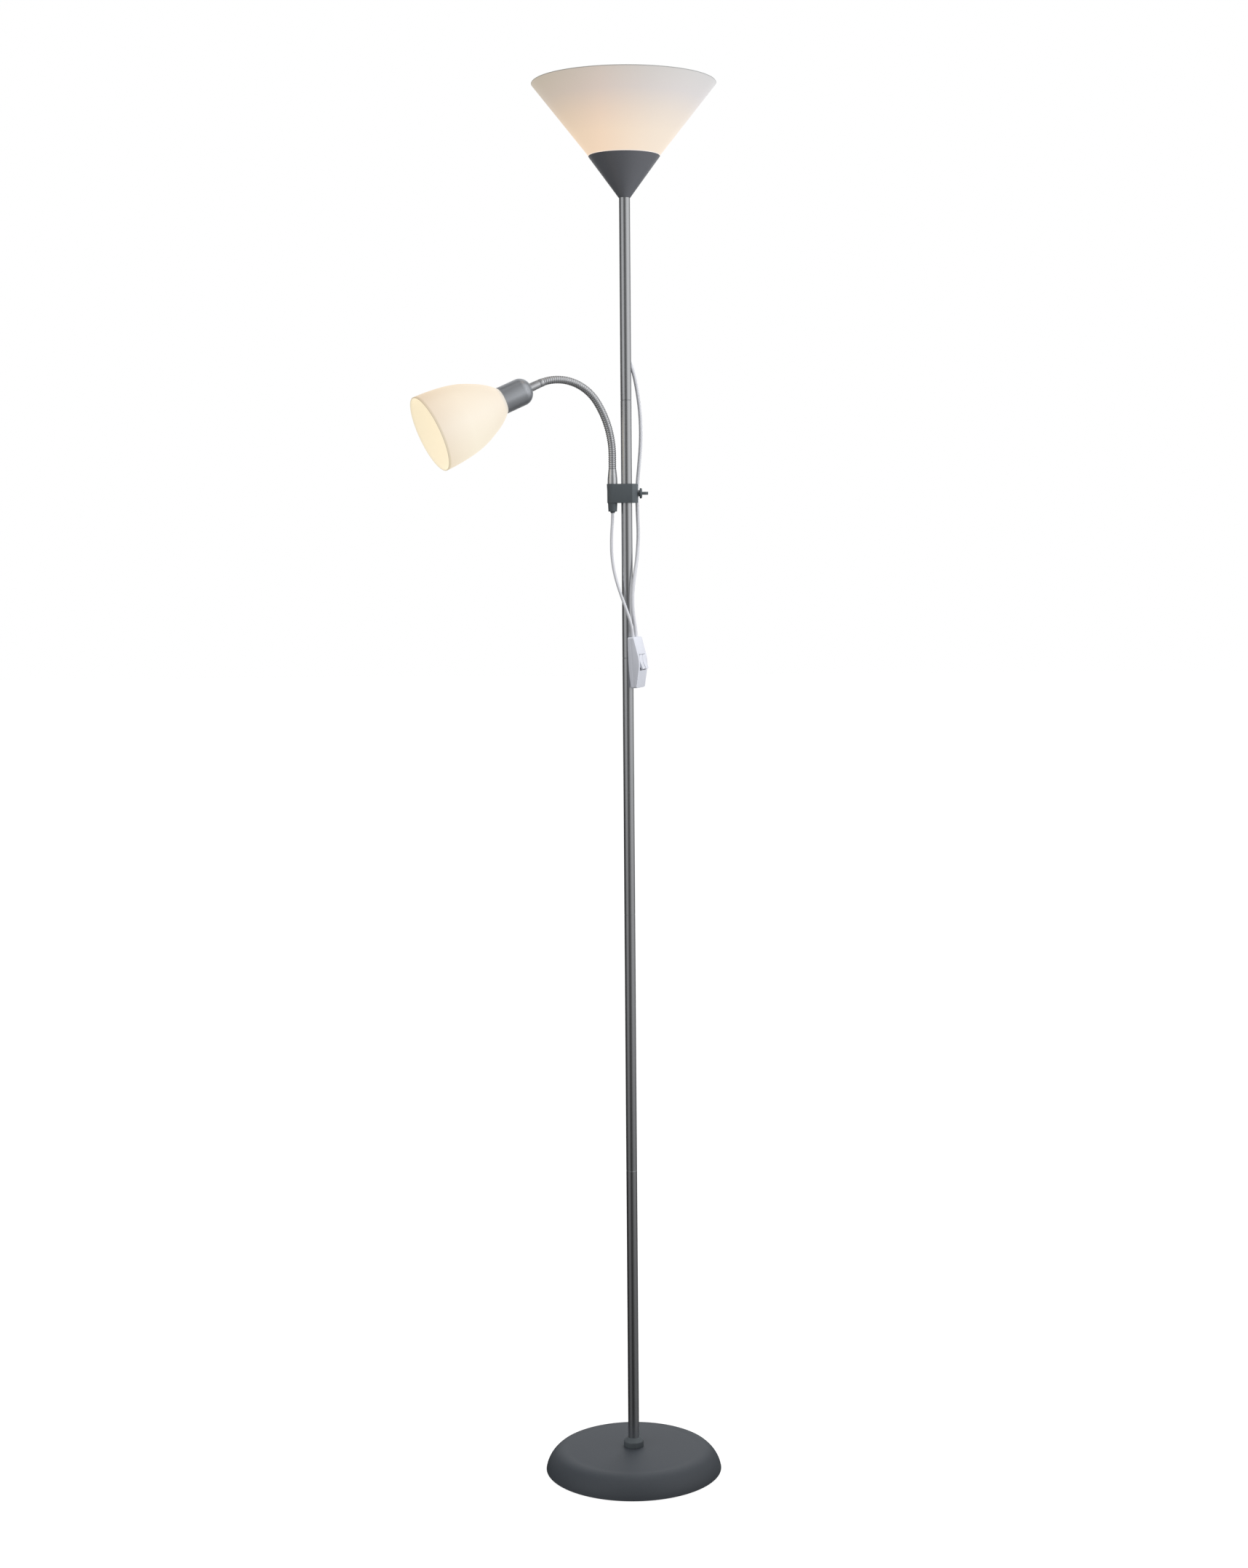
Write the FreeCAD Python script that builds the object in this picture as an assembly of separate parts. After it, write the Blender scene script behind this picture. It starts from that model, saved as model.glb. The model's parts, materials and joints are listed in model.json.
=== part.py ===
import FreeCAD, Part
import math
import os

# A torchiere floor lamp with a reading light.
# A conical glass-white bowl throws the main light up from the top of a five-section pole, which stands on a
# round weighted base. A clamp on the pole carries a ribbed goose neck with a bell-shaped reading shade, and
# a cord switch with two rockers hangs on its cords beside the pole.
#
# Millimetres. The origin is the centre of the base's underside and +Z runs up the pole. The reading arm
# points to -X and is turned by arm_turn towards -Y, which is the side that the lamp is looked at from.

Vector = FreeCAD.Vector
UP = Vector(0, 0, 1)
RIGHT = Vector(1, 0, 0)

# ---------------------------------------------------------------- driving dimensions

# Fits
running_gap = 0.05          # radial clearance of what turns, slides or screws in
loose_gap = 0.3             # between pieces that only lie beside each other

# Base
base_radius = 112.7
shoulder_inset = 17.7        # from the base's radius to the shoulder's
shoulder_height = 24.8
shoulder_rounding = 6.0
base_crown = 3.7            # the middle stands this much above the shoulder
crown_flat_radius = 24.0
side_bulge = 3.5
shell_wall = 1.2
shell_rim_height = 0.8
pad_inset = 4.7             # of the rubber pad from the base's edge
pad_thickness = 2.0
weight_inset = 6.7
weight_edge_height = 7.0
weight_top_inset = 3.0      # of the weight's top from the shoulder
weight_top_gap = 2.1        # under the cover
weight_boss_inset = 4.0     # of its boss from the crown's flat
nut_recess_radius = 14.5
nut_recess_height = 18.5
channel_gap = 1.0           # round the cable under the weight
washer_radius = 12.0
washer_thickness = 1.5
collar_flange_radius = 12.8
collar_flange_height = 7.0
collar_top_wall = 0.9
collar_height = 12.0
collar_floor = 1.5
grommet_radius = 4.4
grommet_flange_radius = 5.2
grommet_flange_thickness = 1.4
inlet_height = 6.0          # height of the mains inlet and of the cable in the base

# Pole
pole_radius = 7.0
pole_wall = 0.9
joint_chamfer = 0.4
bottom_joint = 385.7        # height of the lowest joint
section_length = 330.0
top_section_length = 264.3
joiner_length = 36.0
insert_length = 20.0
nipple_radius = 5.0
nipple_length = 35.5
nut_across_flats = 14.0
nut_thickness = 4.0
cable_radius = 2.5
cord_exit = 56.3            # from the top joint up to where the cord to the switch starts
cable_top_gap = 14.0        # from there down to the end of the cable from the base
upper_cable_gap = 8.0       # from there up to the cable to the upper light

# Upper light
cup_overlap = 6.0           # of the cup over the pole's end
cup_foot_wall = 0.6
cup_height = 53.0
cup_rim_radius = 46.0
cup_wall = 1.4
cup_lip = 0.6
cup_floor = 9.0
bowl_height = 93.0          # above the cup
bowl_rim_radius = 118.2
bowl_wall = 2.0
bowl_sunk = 6.0             # from the cup's rim down to the bowl's floor
bowl_seat_gap = 0.45        # between the bowl's foot and the cup
holder_e27_radius = 19.0
holder_e27_thread = 0.6     # that the thread stands out
holder_e27_rise = 15.0      # above the bowl's floor
ring_e27_width = 7.4
ring_thickness = 4.0
cap_gap = 1.1               # between a lamp cap and its holder's bore
contact_gap = 0.5           # between a lamp cap's tip and the centre contact
contact_e27_height = 4.5
bulb_e27_cap_radius = 13.1
bulb_e27_cap_length = 31.0
bulb_e27_radius = 30.0
bulb_e27_length = 70.0      # glass above the holder

# Clamp
clamp_height = 24.3
clamp_drop = 119.05         # from the top joint to the middle of the clamp
clamp_half_depth = 10.8
clamp_end = 14.5            # from the pole's axis to the end that the screw goes in
clamp_corner = 7.2          # chamfer of that end's corners
liner_wall = 1.25
liner_slit = 1.5
liner_end_gap = 1.0
arm_offset = 18.0           # from the pole's axis to the neck's
boss_top_radius = 7.4
boss_bottom_radius = 5.5
boss_height = 35.2
spigot_radius = 4.6
spigot_length = 18.8
bush_radius = 3.4
bush_tip_radius = 2.5
bush_length = 8.3
bush_proud = 2.0
thread_pitch = 0.8
screw_radius = 2.42
pad_length = 2.2
knob_gap = 0.3
knob_neck_radius = 4.05
knob_neck_length = 1.8
knob_flange_radius = 6.8
knob_flange_thickness = 3.3
wing_length = 7.7
wing_width = 12.4
wing_thickness = 3.6

# Goose neck
arm_turn = 20.6             # degrees from -X towards -Y
neck_radius = 4.95
rib_depth = 0.6
neck_bore = 3.0
neck_cable_radius = 2.2
foot_ferrule_length = 18.9  # from the clamp to where the ribs start
neck_straight = 16.9        # length of the neck below its first bend
first_bend_radius = 125.0
first_bend_turn = 33.0
second_bend_radius = 62.0
second_bend_turn = 81.4
link_count = 8
ribs_per_link = 8
bend_gap = 0.9              # between links that bend in the arm's plane
sway_gap = 1.1              # at the first and last joint, which sway sideways
foot_ferrule_radius = 6.4
foot_ferrule_tip_radius = 4.65
head_ferrule_radius = 5.35
head_ferrule_spigot = 4.0

# Reading light, along its own axis from the end of the ribs
cover_start = 11.5
cover_dome_length = 14.0
cover_length = 43.5
cover_wall = 1.0
head_spigot_length = 5.0
holder_e14_setback = 4.0    # from the ferrule's spigot to the holder
holder_e14_rise = 1.7       # above the shade's floor
holder_e14_radius = 11.8
holder_e14_thread = 1.1     # that the thread stands out
ring_e14_width = 1.3
shade_neck_length = 8.5     # inside the cover
shade_neck_gap = 0.2        # between them
shade_floor = 1.8
shade_wall = 1.8
shade_length = 103.1        # out of the cover
shade_mouth_radius = 50.0
contact_e14_height = 2.3
bulb_e14_cap_radius = 6.9
bulb_e14_cap_length = 19.0
bulb_e14_radius = 20.0
bulb_e14_length = 52.0

# Cord switch, in its own frame: x across the rockers, y out of their face, z along the switch
switch_right = 7.3          # of the pole's axis
switch_front_offset = 13.2  # in front of it
switch_drop = 215.95        # under the middle of the clamp
switch_turn = 65.0          # degrees that its face is turned from -Y to +X
switch_tilt = 3.3           # degrees that its top leans towards -X
switch_length = 65.0
switch_width = 26.0
switch_end_depth = 7.6
switch_back_bulge = 1.1
switch_slope = 12.0
switch_flat = 10.0          # half the length of the rounded middle
switch_seam = 4.0           # depth of the seam between the halves
switch_corner = 2.2
switch_end_wall = 10.5      # from each end to the cavity
switch_back_wall = 1.2
switch_side_wall = 1.5
switch_front_wall = 3.4
rocker_width = 8.2
rocker_web = 1.4            # between the two rockers
rocker_length = 18.6
rocker_rise = 3.0
rocker_dip = 1.7
rocker_pivot_depth = 1.6    # of the axle under the front
rocker_tilt = 12.0          # to each side of level
axle_radius = 1.0
cord_pitch = 8.4            # between the two cord entries
screw_inset = 6.5           # of each housing screw from the switch's end
housing_screw_radius = 1.1

# Cords
upper_cord_radius = 2.3
reading_cord_radius = 1.9
slot_gap = 0.35
entry_gap = 0.3

# ---------------------------------------------------------------- places worked out from them

shoulder_radius = base_radius - shoulder_inset
base_top = shoulder_height + base_crown
pad_radius = base_radius - pad_inset
collar_top_radius = pole_radius + collar_top_wall
pole_bottom = base_top + collar_floor
pole_bore = pole_radius - pole_wall
joint_heights = [bottom_joint + section_length * i for i in range(4)]
top_joint = joint_heights[-1]
pole_top = top_joint + top_section_length
nipple_bottom = nut_recess_height - washer_thickness - nut_thickness - 0.5
cord_start = top_joint + cord_exit

cup_bottom = pole_top - cup_overlap
cup_bottom_radius = pole_radius + cup_foot_wall
cup_floor_top = cup_bottom + cup_floor
cup_rim_height = cup_bottom + cup_height
top_nipple_bottom = cup_floor_top + 14.5 - nipple_length
bowl_floor_height = cup_rim_height - bowl_sunk
bowl_rim_height = cup_rim_height + bowl_height
holder_e27_bottom = cup_floor_top + nut_thickness + loose_gap
holder_e27_top = bowl_floor_height + bowl_wall + holder_e27_rise
holder_e27_thread_radius = holder_e27_radius + holder_e27_thread
ring_e27_radius = holder_e27_thread_radius + ring_e27_width
cap_e27_bottom = holder_e27_top + loose_gap - bulb_e27_cap_length
bore_e27_floor = cap_e27_bottom - contact_gap - contact_e27_height

clamp_centre = top_joint - clamp_drop
clamp_top = clamp_centre + clamp_height / 2
clamp_bottom = clamp_centre - clamp_height / 2
boss_bottom = clamp_top - boss_height
liner_bore = pole_radius + running_gap
liner_radius = liner_bore + liner_wall
clamp_bore = liner_radius + running_gap
screw_channel = screw_radius + running_gap
neck_foot_height = clamp_top + foot_ferrule_length
neck_straight_top = neck_foot_height + neck_straight
neck_groove_radius = neck_radius - rib_depth

holder_e14_thread_radius = holder_e14_radius + holder_e14_thread
ring_e14_radius = holder_e14_thread_radius + ring_e14_width
shade_neck_radius = ring_e14_radius + loose_gap + shade_wall
cover_radius = shade_neck_radius + shade_neck_gap + cover_wall
cover_end = cover_start + cover_length
shade_neck_start = cover_end - shade_neck_length
shade_mouth = cover_end + shade_length
head_spigot_end = cover_start + head_spigot_length
holder_e14_start = head_spigot_end + holder_e14_setback
holder_e14_end = shade_neck_start + shade_floor + holder_e14_rise
cap_e14_bottom = holder_e14_end + loose_gap - bulb_e14_cap_length
bore_e14_floor = cap_e14_bottom - contact_gap - contact_e14_height

switch_centre = Vector(switch_right, -switch_front_offset, clamp_centre - switch_drop)
switch_half = switch_length / 2
switch_cavity = switch_half - switch_end_wall
screw_height = switch_half - screw_inset
rocker_pitch = rocker_width + rocker_web
bush_top = boss_bottom + bush_length - bush_proud

# The cords' routes, each from its upper end down to the switch
upper_cord_route = [
    (2.7, 1.0, cord_start), (9.0, 3.0, cord_start - 16.0), (14.8, 5.5, cord_start - 45.0),
    (18.4, 7.5, cord_start - 75.0), (18.9, 9.3, cord_start - 108.0), (16.2, 11.2, cord_start - 139.0),
    (13.2, 12.6, cord_start - 169.0), (13.7, 11.5, cord_start - 199.0), (15.0, 7.0, cord_start - 228.0),
    (13.0, 0.0, switch_centre.z + 134.3), (8.8, -9.0, switch_centre.z + 108.3),
    (6.1, -12.4, switch_centre.z + 84.3), (7.0, -12.1, switch_centre.z + 62.3),
    (10.27, -11.08, switch_centre.z + 42.24), (11.54, -11.08, switch_centre.z + 20.28),
]
reading_cord_route = [
    (-arm_offset, 0.0, bush_top - 0.4), (-arm_offset, 0.0, boss_bottom - 7.6),
    (-arm_offset - 1.9, -0.5, boss_bottom - 30.6), (-arm_offset - 1.9, -1.2, boss_bottom - 56.6),
    (-16.2, -4.6, switch_centre.z + 112.3), (-9.4, -11.0, switch_centre.z + 89.3),
    (-0.5, -16.4, switch_centre.z + 65.3), (6.73, -18.7, switch_centre.z + 42.04),
    (8.0, -18.7, switch_centre.z + 20.07),
]

turn = math.radians(arm_turn)
ARM = Vector(-math.cos(turn), -math.sin(turn), 0)         # level, along the arm
ACROSS = Vector(math.sin(turn), -math.cos(turn), 0)       # level, across the arm
neck_axis = Vector(-arm_offset, 0, 0)


# ---------------------------------------------------------------- helpers

def cylinder(radius, low, high):
    """A solid rod on the Z axis."""
    return Part.makeCylinder(radius, high - low, Vector(0, 0, low))


def sleeve(radius, bore, low, high):
    """A tube on the Z axis."""
    return cylinder(radius, low, high).cut(cylinder(bore, low - 1, high + 1))


def rod(start, end, radius):
    """A straight rod between two points."""
    return Part.makeCylinder(radius, (end - start).Length, start, end - start)


def block(low, high):
    """A box between two corners."""
    low = Vector(*low)
    size = Vector(*high) - low
    return Part.makeBox(size.x, size.y, size.z, low)


def outline_edges(points, place):
    """Edges round a closed outline. A point of four numbers ends an arc that passes its first two."""
    edges = []
    last = points[-1][-2:]
    for point in points:
        end = point[-2:]
        if len(point) == 4:
            edges.append(Part.Arc(place(last), place(point[:2]), place(end)).toShape())
        elif math.dist(last, end) > 1e-6:
            edges.append(Part.makeLine(place(last), place(end)))
        last = end
    return edges


def lathe(points):
    """A solid turned about Z from an outline of (radius, height) points."""
    edges = outline_edges(points, lambda p: Vector(p[0], 0, p[1]))
    return Part.Face(Part.Wire(edges)).revolve(Vector(0, 0, 0), UP, 360)


def bar(points, width):
    """A solid of (y, z) outline, centred on x = 0 and that wide along X."""
    edges = outline_edges(points, lambda p: Vector(-width / 2, p[0], p[1]))
    return Part.Face(Part.Wire(edges)).extrude(Vector(width, 0, 0))


def bulge(start, end, rise):
    """The middle of an arc from start to end that rises to the right of the way between them."""
    length = math.dist(start, end)
    across = ((end[1] - start[1]) / length, (start[0] - end[0]) / length)
    return tuple((start[i] + end[i]) / 2 + rise * across[i] for i in range(2))


def hexagon(across_flats, low, high):
    """A hexagonal rod on the Z axis."""
    radius = across_flats / math.sqrt(3)
    corners = [Vector(radius * math.cos(math.radians(60 * i)), radius * math.sin(math.radians(60 * i)), low)
               for i in range(7)]
    return Part.Face(Part.makePolygon(corners)).extrude(UP * (high - low))


def frame_at(place, x_axis, z_axis):
    """The placement that puts the origin at place, X along x_axis and Z along z_axis."""
    y_axis = z_axis.cross(x_axis)
    return FreeCAD.Placement(FreeCAD.Matrix(
        x_axis.x, y_axis.x, z_axis.x, place.x,
        x_axis.y, y_axis.y, z_axis.y, place.y,
        x_axis.z, y_axis.z, z_axis.z, place.z,
        0, 0, 0, 1))


def placed(shape, placement):
    """A copy of a shape, put in place by its geometry."""
    return shape.transformed(placement.toMatrix(), True)


def circle_wire(radius, placement):
    circle = Part.Wire(Part.Circle(Vector(0, 0, 0), UP, radius).toShape())
    return placed(circle, placement)


def swept(path, radius):
    """A round tube along a wire of lines and arcs."""
    first = path.OrderedEdges[0]
    start = first.valueAt(first.FirstParameter)
    along = first.tangentAt(first.FirstParameter)
    if (start - path.OrderedVertexes[0].Point).Length > 1e-6:
        start = first.valueAt(first.LastParameter)
        along = first.tangentAt(first.LastParameter) * -1
    ring = Part.Wire(Part.Circle(start, along, radius).toShape())
    return path.makePipeShell([ring], True, False)


def cord_path(name, route, radius):
    """Straight runs joined by tangent arcs, each as large as its two runs allow."""
    points = [Vector(*p) for p in route]
    edges = []
    radii = []
    last = points[0]
    for before, corner, after in zip(points, points[1:], points[2:]):
        back = (before - corner).normalize()
        ahead = (after - corner).normalize()
        half_turn = (math.pi - back.getAngle(ahead)) / 2
        reach = 0.45 * min((before - corner).Length, (after - corner).Length)
        radii.append(reach / math.tan(half_turn))
        start = corner + back * reach
        end = corner + ahead * reach
        to_centre = (back + ahead).normalize()
        middle = corner + to_centre * (radii[-1] / math.cos(half_turn) - radii[-1])
        edges.append(Part.makeLine(last, start))
        edges.append(Part.Arc(start, middle, end).toShape())
        last = end
    edges.append(Part.makeLine(last, points[-1]))
    path = Part.Wire(edges)
    tube = swept(path, radius)
    share = tube.Volume / (math.pi * radius ** 2 * path.Length)
    print(f"{name}: {path.Length:.1f} long, volume share {share:.4f}, least radius {min(radii):.1f},"
          f" radii {[round(r) for r in radii]}")
    return tube


# ---------------------------------------------------------------- base

def base_dome(inset):
    """The pressed base cover's solid form, smaller by inset all round."""
    rim = (base_radius - inset, shell_rim_height)
    shoulder = (shoulder_radius - inset / 2, shoulder_height - inset)
    flat = (crown_flat_radius, base_top - inset)
    crown_rise = math.dist(shoulder, flat) / 2 * math.tan(math.atan2(base_crown, shoulder[0] - flat[0]) / 2)
    dome = lathe([
        (0, shell_rim_height), rim, bulge(rim, shoulder, side_bulge) + shoulder,
        bulge(shoulder, flat, crown_rise) + flat, (0, base_top - inset)])
    edges = [e for e in dome.Edges if abs(e.CenterOfMass.z - shoulder[1]) < 0.01 and e.Length > 1]
    return dome.makeFillet(shoulder_rounding, edges)


def base_shell():
    shell = base_dome(0).cut(base_dome(shell_wall))
    shell = shell.cut(cylinder(nipple_radius + 0.2, 0, base_top + 1))
    inlet = rod(Vector(0, shoulder_radius, inlet_height), Vector(0, base_radius + 5, inlet_height),
                grommet_radius + 0.1)
    return shell.cut(inlet)


def base_weight():
    top = base_top - shell_wall
    weight_radius = base_radius - weight_inset
    weight_top_radius = shoulder_radius - weight_top_inset
    weight_top_height = shoulder_height - shell_wall - weight_top_gap
    weight_boss_radius = crown_flat_radius - weight_boss_inset
    weight = lathe([
        (0, pad_thickness), (weight_radius, pad_thickness), (weight_radius, weight_edge_height),
        (weight_top_radius, weight_top_height), (weight_boss_radius, weight_top_height),
        (weight_boss_radius, top), (0, top)])
    weight = weight.cut(cylinder(nipple_radius + 0.2, 0, base_top))
    weight = weight.cut(cylinder(nut_recess_radius, 0, nut_recess_height))
    channel = cable_radius + channel_gap
    return weight.cut(block((-channel, 0, 0), (channel, base_radius, inlet_height + channel)))


def base_pad():
    return cylinder(pad_radius, 0, pad_thickness)


def base_washer():
    return sleeve(washer_radius, nipple_radius + 0.2, nut_recess_height - washer_thickness, nut_recess_height)


def nut(low):
    return hexagon(nut_across_flats, low, low + nut_thickness).cut(
        cylinder(nipple_radius + running_gap, low - 1, low + nut_thickness + 1))


def nipple(low):
    return sleeve(nipple_radius, cable_radius + 0.1, low, low + nipple_length)


def base_collar():
    top = base_top + collar_height
    body = lathe([
        (nipple_radius + 0.2, base_top), (collar_flange_radius, base_top),
        (collar_flange_radius, base_top + collar_flange_height), (collar_top_radius, top),
        (pole_radius + running_gap, top), (pole_radius + running_gap, pole_bottom),
        (nipple_radius + 0.2, pole_bottom)])
    return body


def mains_inlet_grommet():
    """A rubber sleeve for the mains lead in the back of the base, with a flange outside."""
    face = base_radius + 0.1
    start = pad_radius + loose_gap
    end = face + grommet_flange_thickness
    sleeve_part = rod(Vector(0, start, inlet_height), Vector(0, end, inlet_height), grommet_radius)
    flange = rod(Vector(0, face, inlet_height), Vector(0, end, inlet_height), grommet_flange_radius)
    bore = rod(Vector(0, start - 1, inlet_height), Vector(0, end + 1, inlet_height), cable_radius + 0.1)
    return sleeve_part.fuse(flange).cut(bore).removeSplitter()


# ---------------------------------------------------------------- pole

def pole_section(low, high):
    chamfered = pole_radius - joint_chamfer
    return lathe([
        (pole_bore, low), (chamfered, low), (pole_radius, low + joint_chamfer),
        (pole_radius, high - joint_chamfer), (chamfered, high), (pole_bore, high)])


def pole_sections():
    """The five tubes from the bottom up. The top one has the slanting hole that the switch cord leaves by."""
    ends = [pole_bottom] + joint_heights + [pole_top]
    sections = [pole_section(low, high) for low, high in zip(ends, ends[1:])]
    inside, outside = (Vector(*p) for p in upper_cord_route[:2])
    sections[-1] = sections[-1].cut(rod(inside, outside + (outside - inside), upper_cord_radius + slot_gap))
    return sections


def pole_joiners():
    half = joiner_length / 2
    return Part.makeCompound([
        sleeve(pole_bore - running_gap, cable_radius + 0.1, z - half, z + half) for z in joint_heights])


def pole_inserts():
    """The threaded plugs in the pole's two ends."""
    lows = [pole_bottom, pole_top - insert_length]
    return Part.makeCompound([
        sleeve(pole_bore - running_gap, nipple_radius + running_gap, low, low + insert_length) for low in lows])


def pole_cable():
    """The cable from the mains inlet through the base and up the pole."""
    bend = nipple_bottom - inlet_height
    start = Vector(0, base_radius - 4, inlet_height)
    corner = Vector(0, bend, inlet_height)
    middle = Vector(0, bend * (1 - math.sqrt(0.5)), inlet_height + bend * (1 - math.sqrt(0.5)))
    rise = Vector(0, 0, nipple_bottom)
    path = Part.Wire([
        Part.makeLine(start, corner), Part.Arc(corner, middle, rise).toShape(),
        Part.makeLine(rise, Vector(0, 0, cord_start - cable_top_gap))])
    return swept(path, cable_radius)


def upper_cable():
    return cylinder(cable_radius, cord_start + upper_cable_gap, top_nipple_bottom + nipple_length)


# ---------------------------------------------------------------- upper light

cup_slope = (cup_rim_radius - cup_bottom_radius) / cup_height
cup_floor_radius = cup_bottom_radius + cup_slope * cup_floor - cup_wall


def cup_inner_radius(height):
    """The cup's inner radius at a height."""
    share = (height - cup_floor_top) / (cup_rim_height - cup_floor_top)
    return cup_floor_radius + share * (cup_rim_radius - cup_lip - cup_floor_radius)


def top_cup():
    """The conical cup on the pole's end that hides the lampholder."""
    cup = lathe([
        (0, cup_bottom), (cup_bottom_radius, cup_bottom), (cup_rim_radius, cup_rim_height),
        (cup_rim_radius - cup_lip, cup_rim_height), (cup_floor_radius, cup_floor_top), (0, cup_floor_top)])
    cup = cup.cut(cylinder(pole_radius + running_gap, cup_bottom - 1, pole_top))
    return cup.cut(cylinder(nipple_radius + 0.2, cup_bottom, cup_floor_top + 1))


def top_lampholder():
    """The E27 holder, screwed on the nipple, with an outer thread for the shade ring."""
    low, high = holder_e27_bottom, holder_e27_top
    neck = nipple_radius + 2.0
    shoulder = low + 16.7
    thread = bowl_floor_height - 1.0
    outer = lathe([
        (0, low), (neck, low), (neck, low + 3.5),
        (neck + 9.5, low + 7.8, holder_e27_radius, shoulder), (holder_e27_radius, thread),
        (holder_e27_thread_radius, thread), (holder_e27_thread_radius, high), (0, high)])
    outer = outer.cut(cylinder(nipple_radius + running_gap, low - 1, low + 11.0))
    return outer.cut(cylinder(bulb_e27_cap_radius + cap_gap, bore_e27_floor, high + 1))


def contact_set(floor, cap_radius, tip):
    """A centre tongue on the floor of a lampholder and a side strip up its bore."""
    bore = cap_radius + cap_gap
    centre = cylinder(2.6, floor, floor + 0.6).fuse(cylinder(1.8, floor, tip))
    side = block((cap_radius + cap_gap / 3, -3, floor), (bore - 0.02, 3, tip + 8.0))
    inside = cylinder(math.sqrt((bore - 0.02) ** 2 - 9), floor - 1, tip + 9.0)
    return Part.makeCompound([centre.removeSplitter(), side.common(inside)])


def top_lampholder_contacts():
    return contact_set(bore_e27_floor, bulb_e27_cap_radius, bore_e27_floor + contact_e27_height)


def shade_ring(radius, thread_radius, low, thickness):
    """A threaded ring that holds a shade down on its holder."""
    inner = thread_radius + running_gap
    collar = inner + (radius - inner) * 0.3
    return lathe([
        (inner, low), (radius, low), (radius, low + thickness * 0.4), (collar, low + thickness * 0.55),
        (collar, low + thickness), (inner, low + thickness)])


def top_shade():
    """The conical bowl, whose foot and floor sit in the cup."""
    floor = bowl_floor_height
    foot = cup_rim_radius - cup_lip - 0.2
    rim = bowl_rim_radius
    across = bowl_wall / math.cos(math.atan2(rim - foot, bowl_height))
    low = cup_inner_radius(floor) - bowl_seat_gap
    inside = low + (foot - low) * bowl_wall / bowl_sunk - across
    hole = holder_e27_thread_radius + 0.2
    return lathe([
        (hole, floor), (low, floor), (foot, cup_rim_height), (rim, bowl_rim_height - 0.8),
        (rim - across * 0.4, bowl_rim_height, rim - across, bowl_rim_height - 0.8),
        (foot - across, cup_rim_height), (inside, floor + bowl_wall), (hole, floor + bowl_wall)])


def top_bulb_glass():
    foot = holder_e27_top + loose_gap
    centre = foot + bulb_e27_length - bulb_e27_radius
    neck = bulb_e27_cap_radius + 1.2
    tangent = math.radians(25)
    side = (bulb_e27_radius * math.cos(tangent), centre - bulb_e27_radius * math.sin(tangent))
    side_mid = bulge((neck, foot), side, 1.6)
    return lathe([
        (0, foot), (neck, foot), side_mid + side,
        (bulb_e27_radius, centre, bulb_e27_radius * math.cos(tangent), centre + bulb_e27_radius * math.sin(tangent)),
        (bulb_e27_radius * 0.5, centre + bulb_e27_radius * math.sqrt(0.75), 0, centre + bulb_e27_radius)])


def bulb_cap(radius, low, top):
    """A screw cap with a contact tip at its bottom."""
    return lathe([
        (0, low), (radius * 0.3, low), (radius * 0.45, low + 1.2),
        (radius * 0.8, low + 3.5), (radius, low + 5.0), (radius, top), (0, top)])


def top_bulb_cap():
    return bulb_cap(bulb_e27_cap_radius, cap_e27_bottom, holder_e27_top + loose_gap)


# ---------------------------------------------------------------- clamp

def clamp_liner():
    """The split sleeve that the screw squeezes on the pole."""
    low, high = clamp_bottom + liner_end_gap, clamp_top - liner_end_gap
    ring = sleeve(liner_radius, liner_bore, low, high)
    slit = block((-liner_radius - 1, -liner_slit / 2, low - 1), (0, liner_slit / 2, high + 1))
    return ring.cut(slit)


def clamp_plan():
    """The block's outline from above: an eight-sided end round the pole, drawn in to the neck's boss."""
    end, half, corner = clamp_end, clamp_half_depth, clamp_corner
    shoulder = end - corner
    arm = shoulder + arm_offset
    tilt = math.atan2(half, arm) - math.asin(boss_side / math.hypot(half, arm))
    touch = (-arm_offset - boss_side * math.sin(tilt), boss_side * math.cos(tilt))
    return [
        (end, half - corner), (shoulder, half), touch,
        (-arm_offset - boss_side, 0, touch[0], -touch[1]), (shoulder, -half), (end, -half + corner)]


boss_side = boss_top_radius - 0.5     # the block's rounding behind the tapered boss


def clamp_block():
    edges = outline_edges(clamp_plan(), lambda p: Vector(p[0], p[1], clamp_bottom))
    body = Part.Face(Part.Wire(edges)).extrude(UP * clamp_height)
    boss = lathe([(0, boss_bottom), (boss_bottom_radius, boss_bottom), (boss_top_radius, clamp_top), (0, clamp_top)])
    boss.translate(neck_axis)
    body = body.fuse(boss).removeSplitter()
    body = body.cut(cylinder(clamp_bore, clamp_bottom - 1, clamp_top + 1))
    spigot_bottom = clamp_top - spigot_length
    socket = cylinder(spigot_radius + running_gap, spigot_bottom, clamp_top + 1)
    socket = socket.fuse(cylinder(neck_cable_radius + 0.4, boss_bottom - 1, spigot_bottom + 1))
    socket = socket.fuse(cylinder(bush_radius + running_gap, boss_bottom - 1, bush_top))
    socket.translate(neck_axis)
    channel = rod(Vector(pole_radius, 0, clamp_centre), Vector(clamp_end + 1, 0, clamp_centre), screw_channel)
    return body.cut(socket).cut(channel)


def cord_bush():
    """The tapered strain relief in the bottom of the boss."""
    low = boss_bottom - bush_proud
    bush = lathe([
        (reading_cord_radius + running_gap, low), (bush_tip_radius, low), (bush_radius, boss_bottom),
        (bush_radius, bush_top), (reading_cord_radius + running_gap, bush_top)])
    bush.translate(neck_axis)
    return bush


def screw_pad():
    """The brass pad between the screw and the liner, hollowed to fit it."""
    pad = rod(Vector(pole_radius, 0, clamp_centre), Vector(liner_radius + pad_length, 0, clamp_centre), screw_radius)
    return pad.cut(cylinder(liner_radius + running_gap, clamp_bottom, clamp_top))


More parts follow.
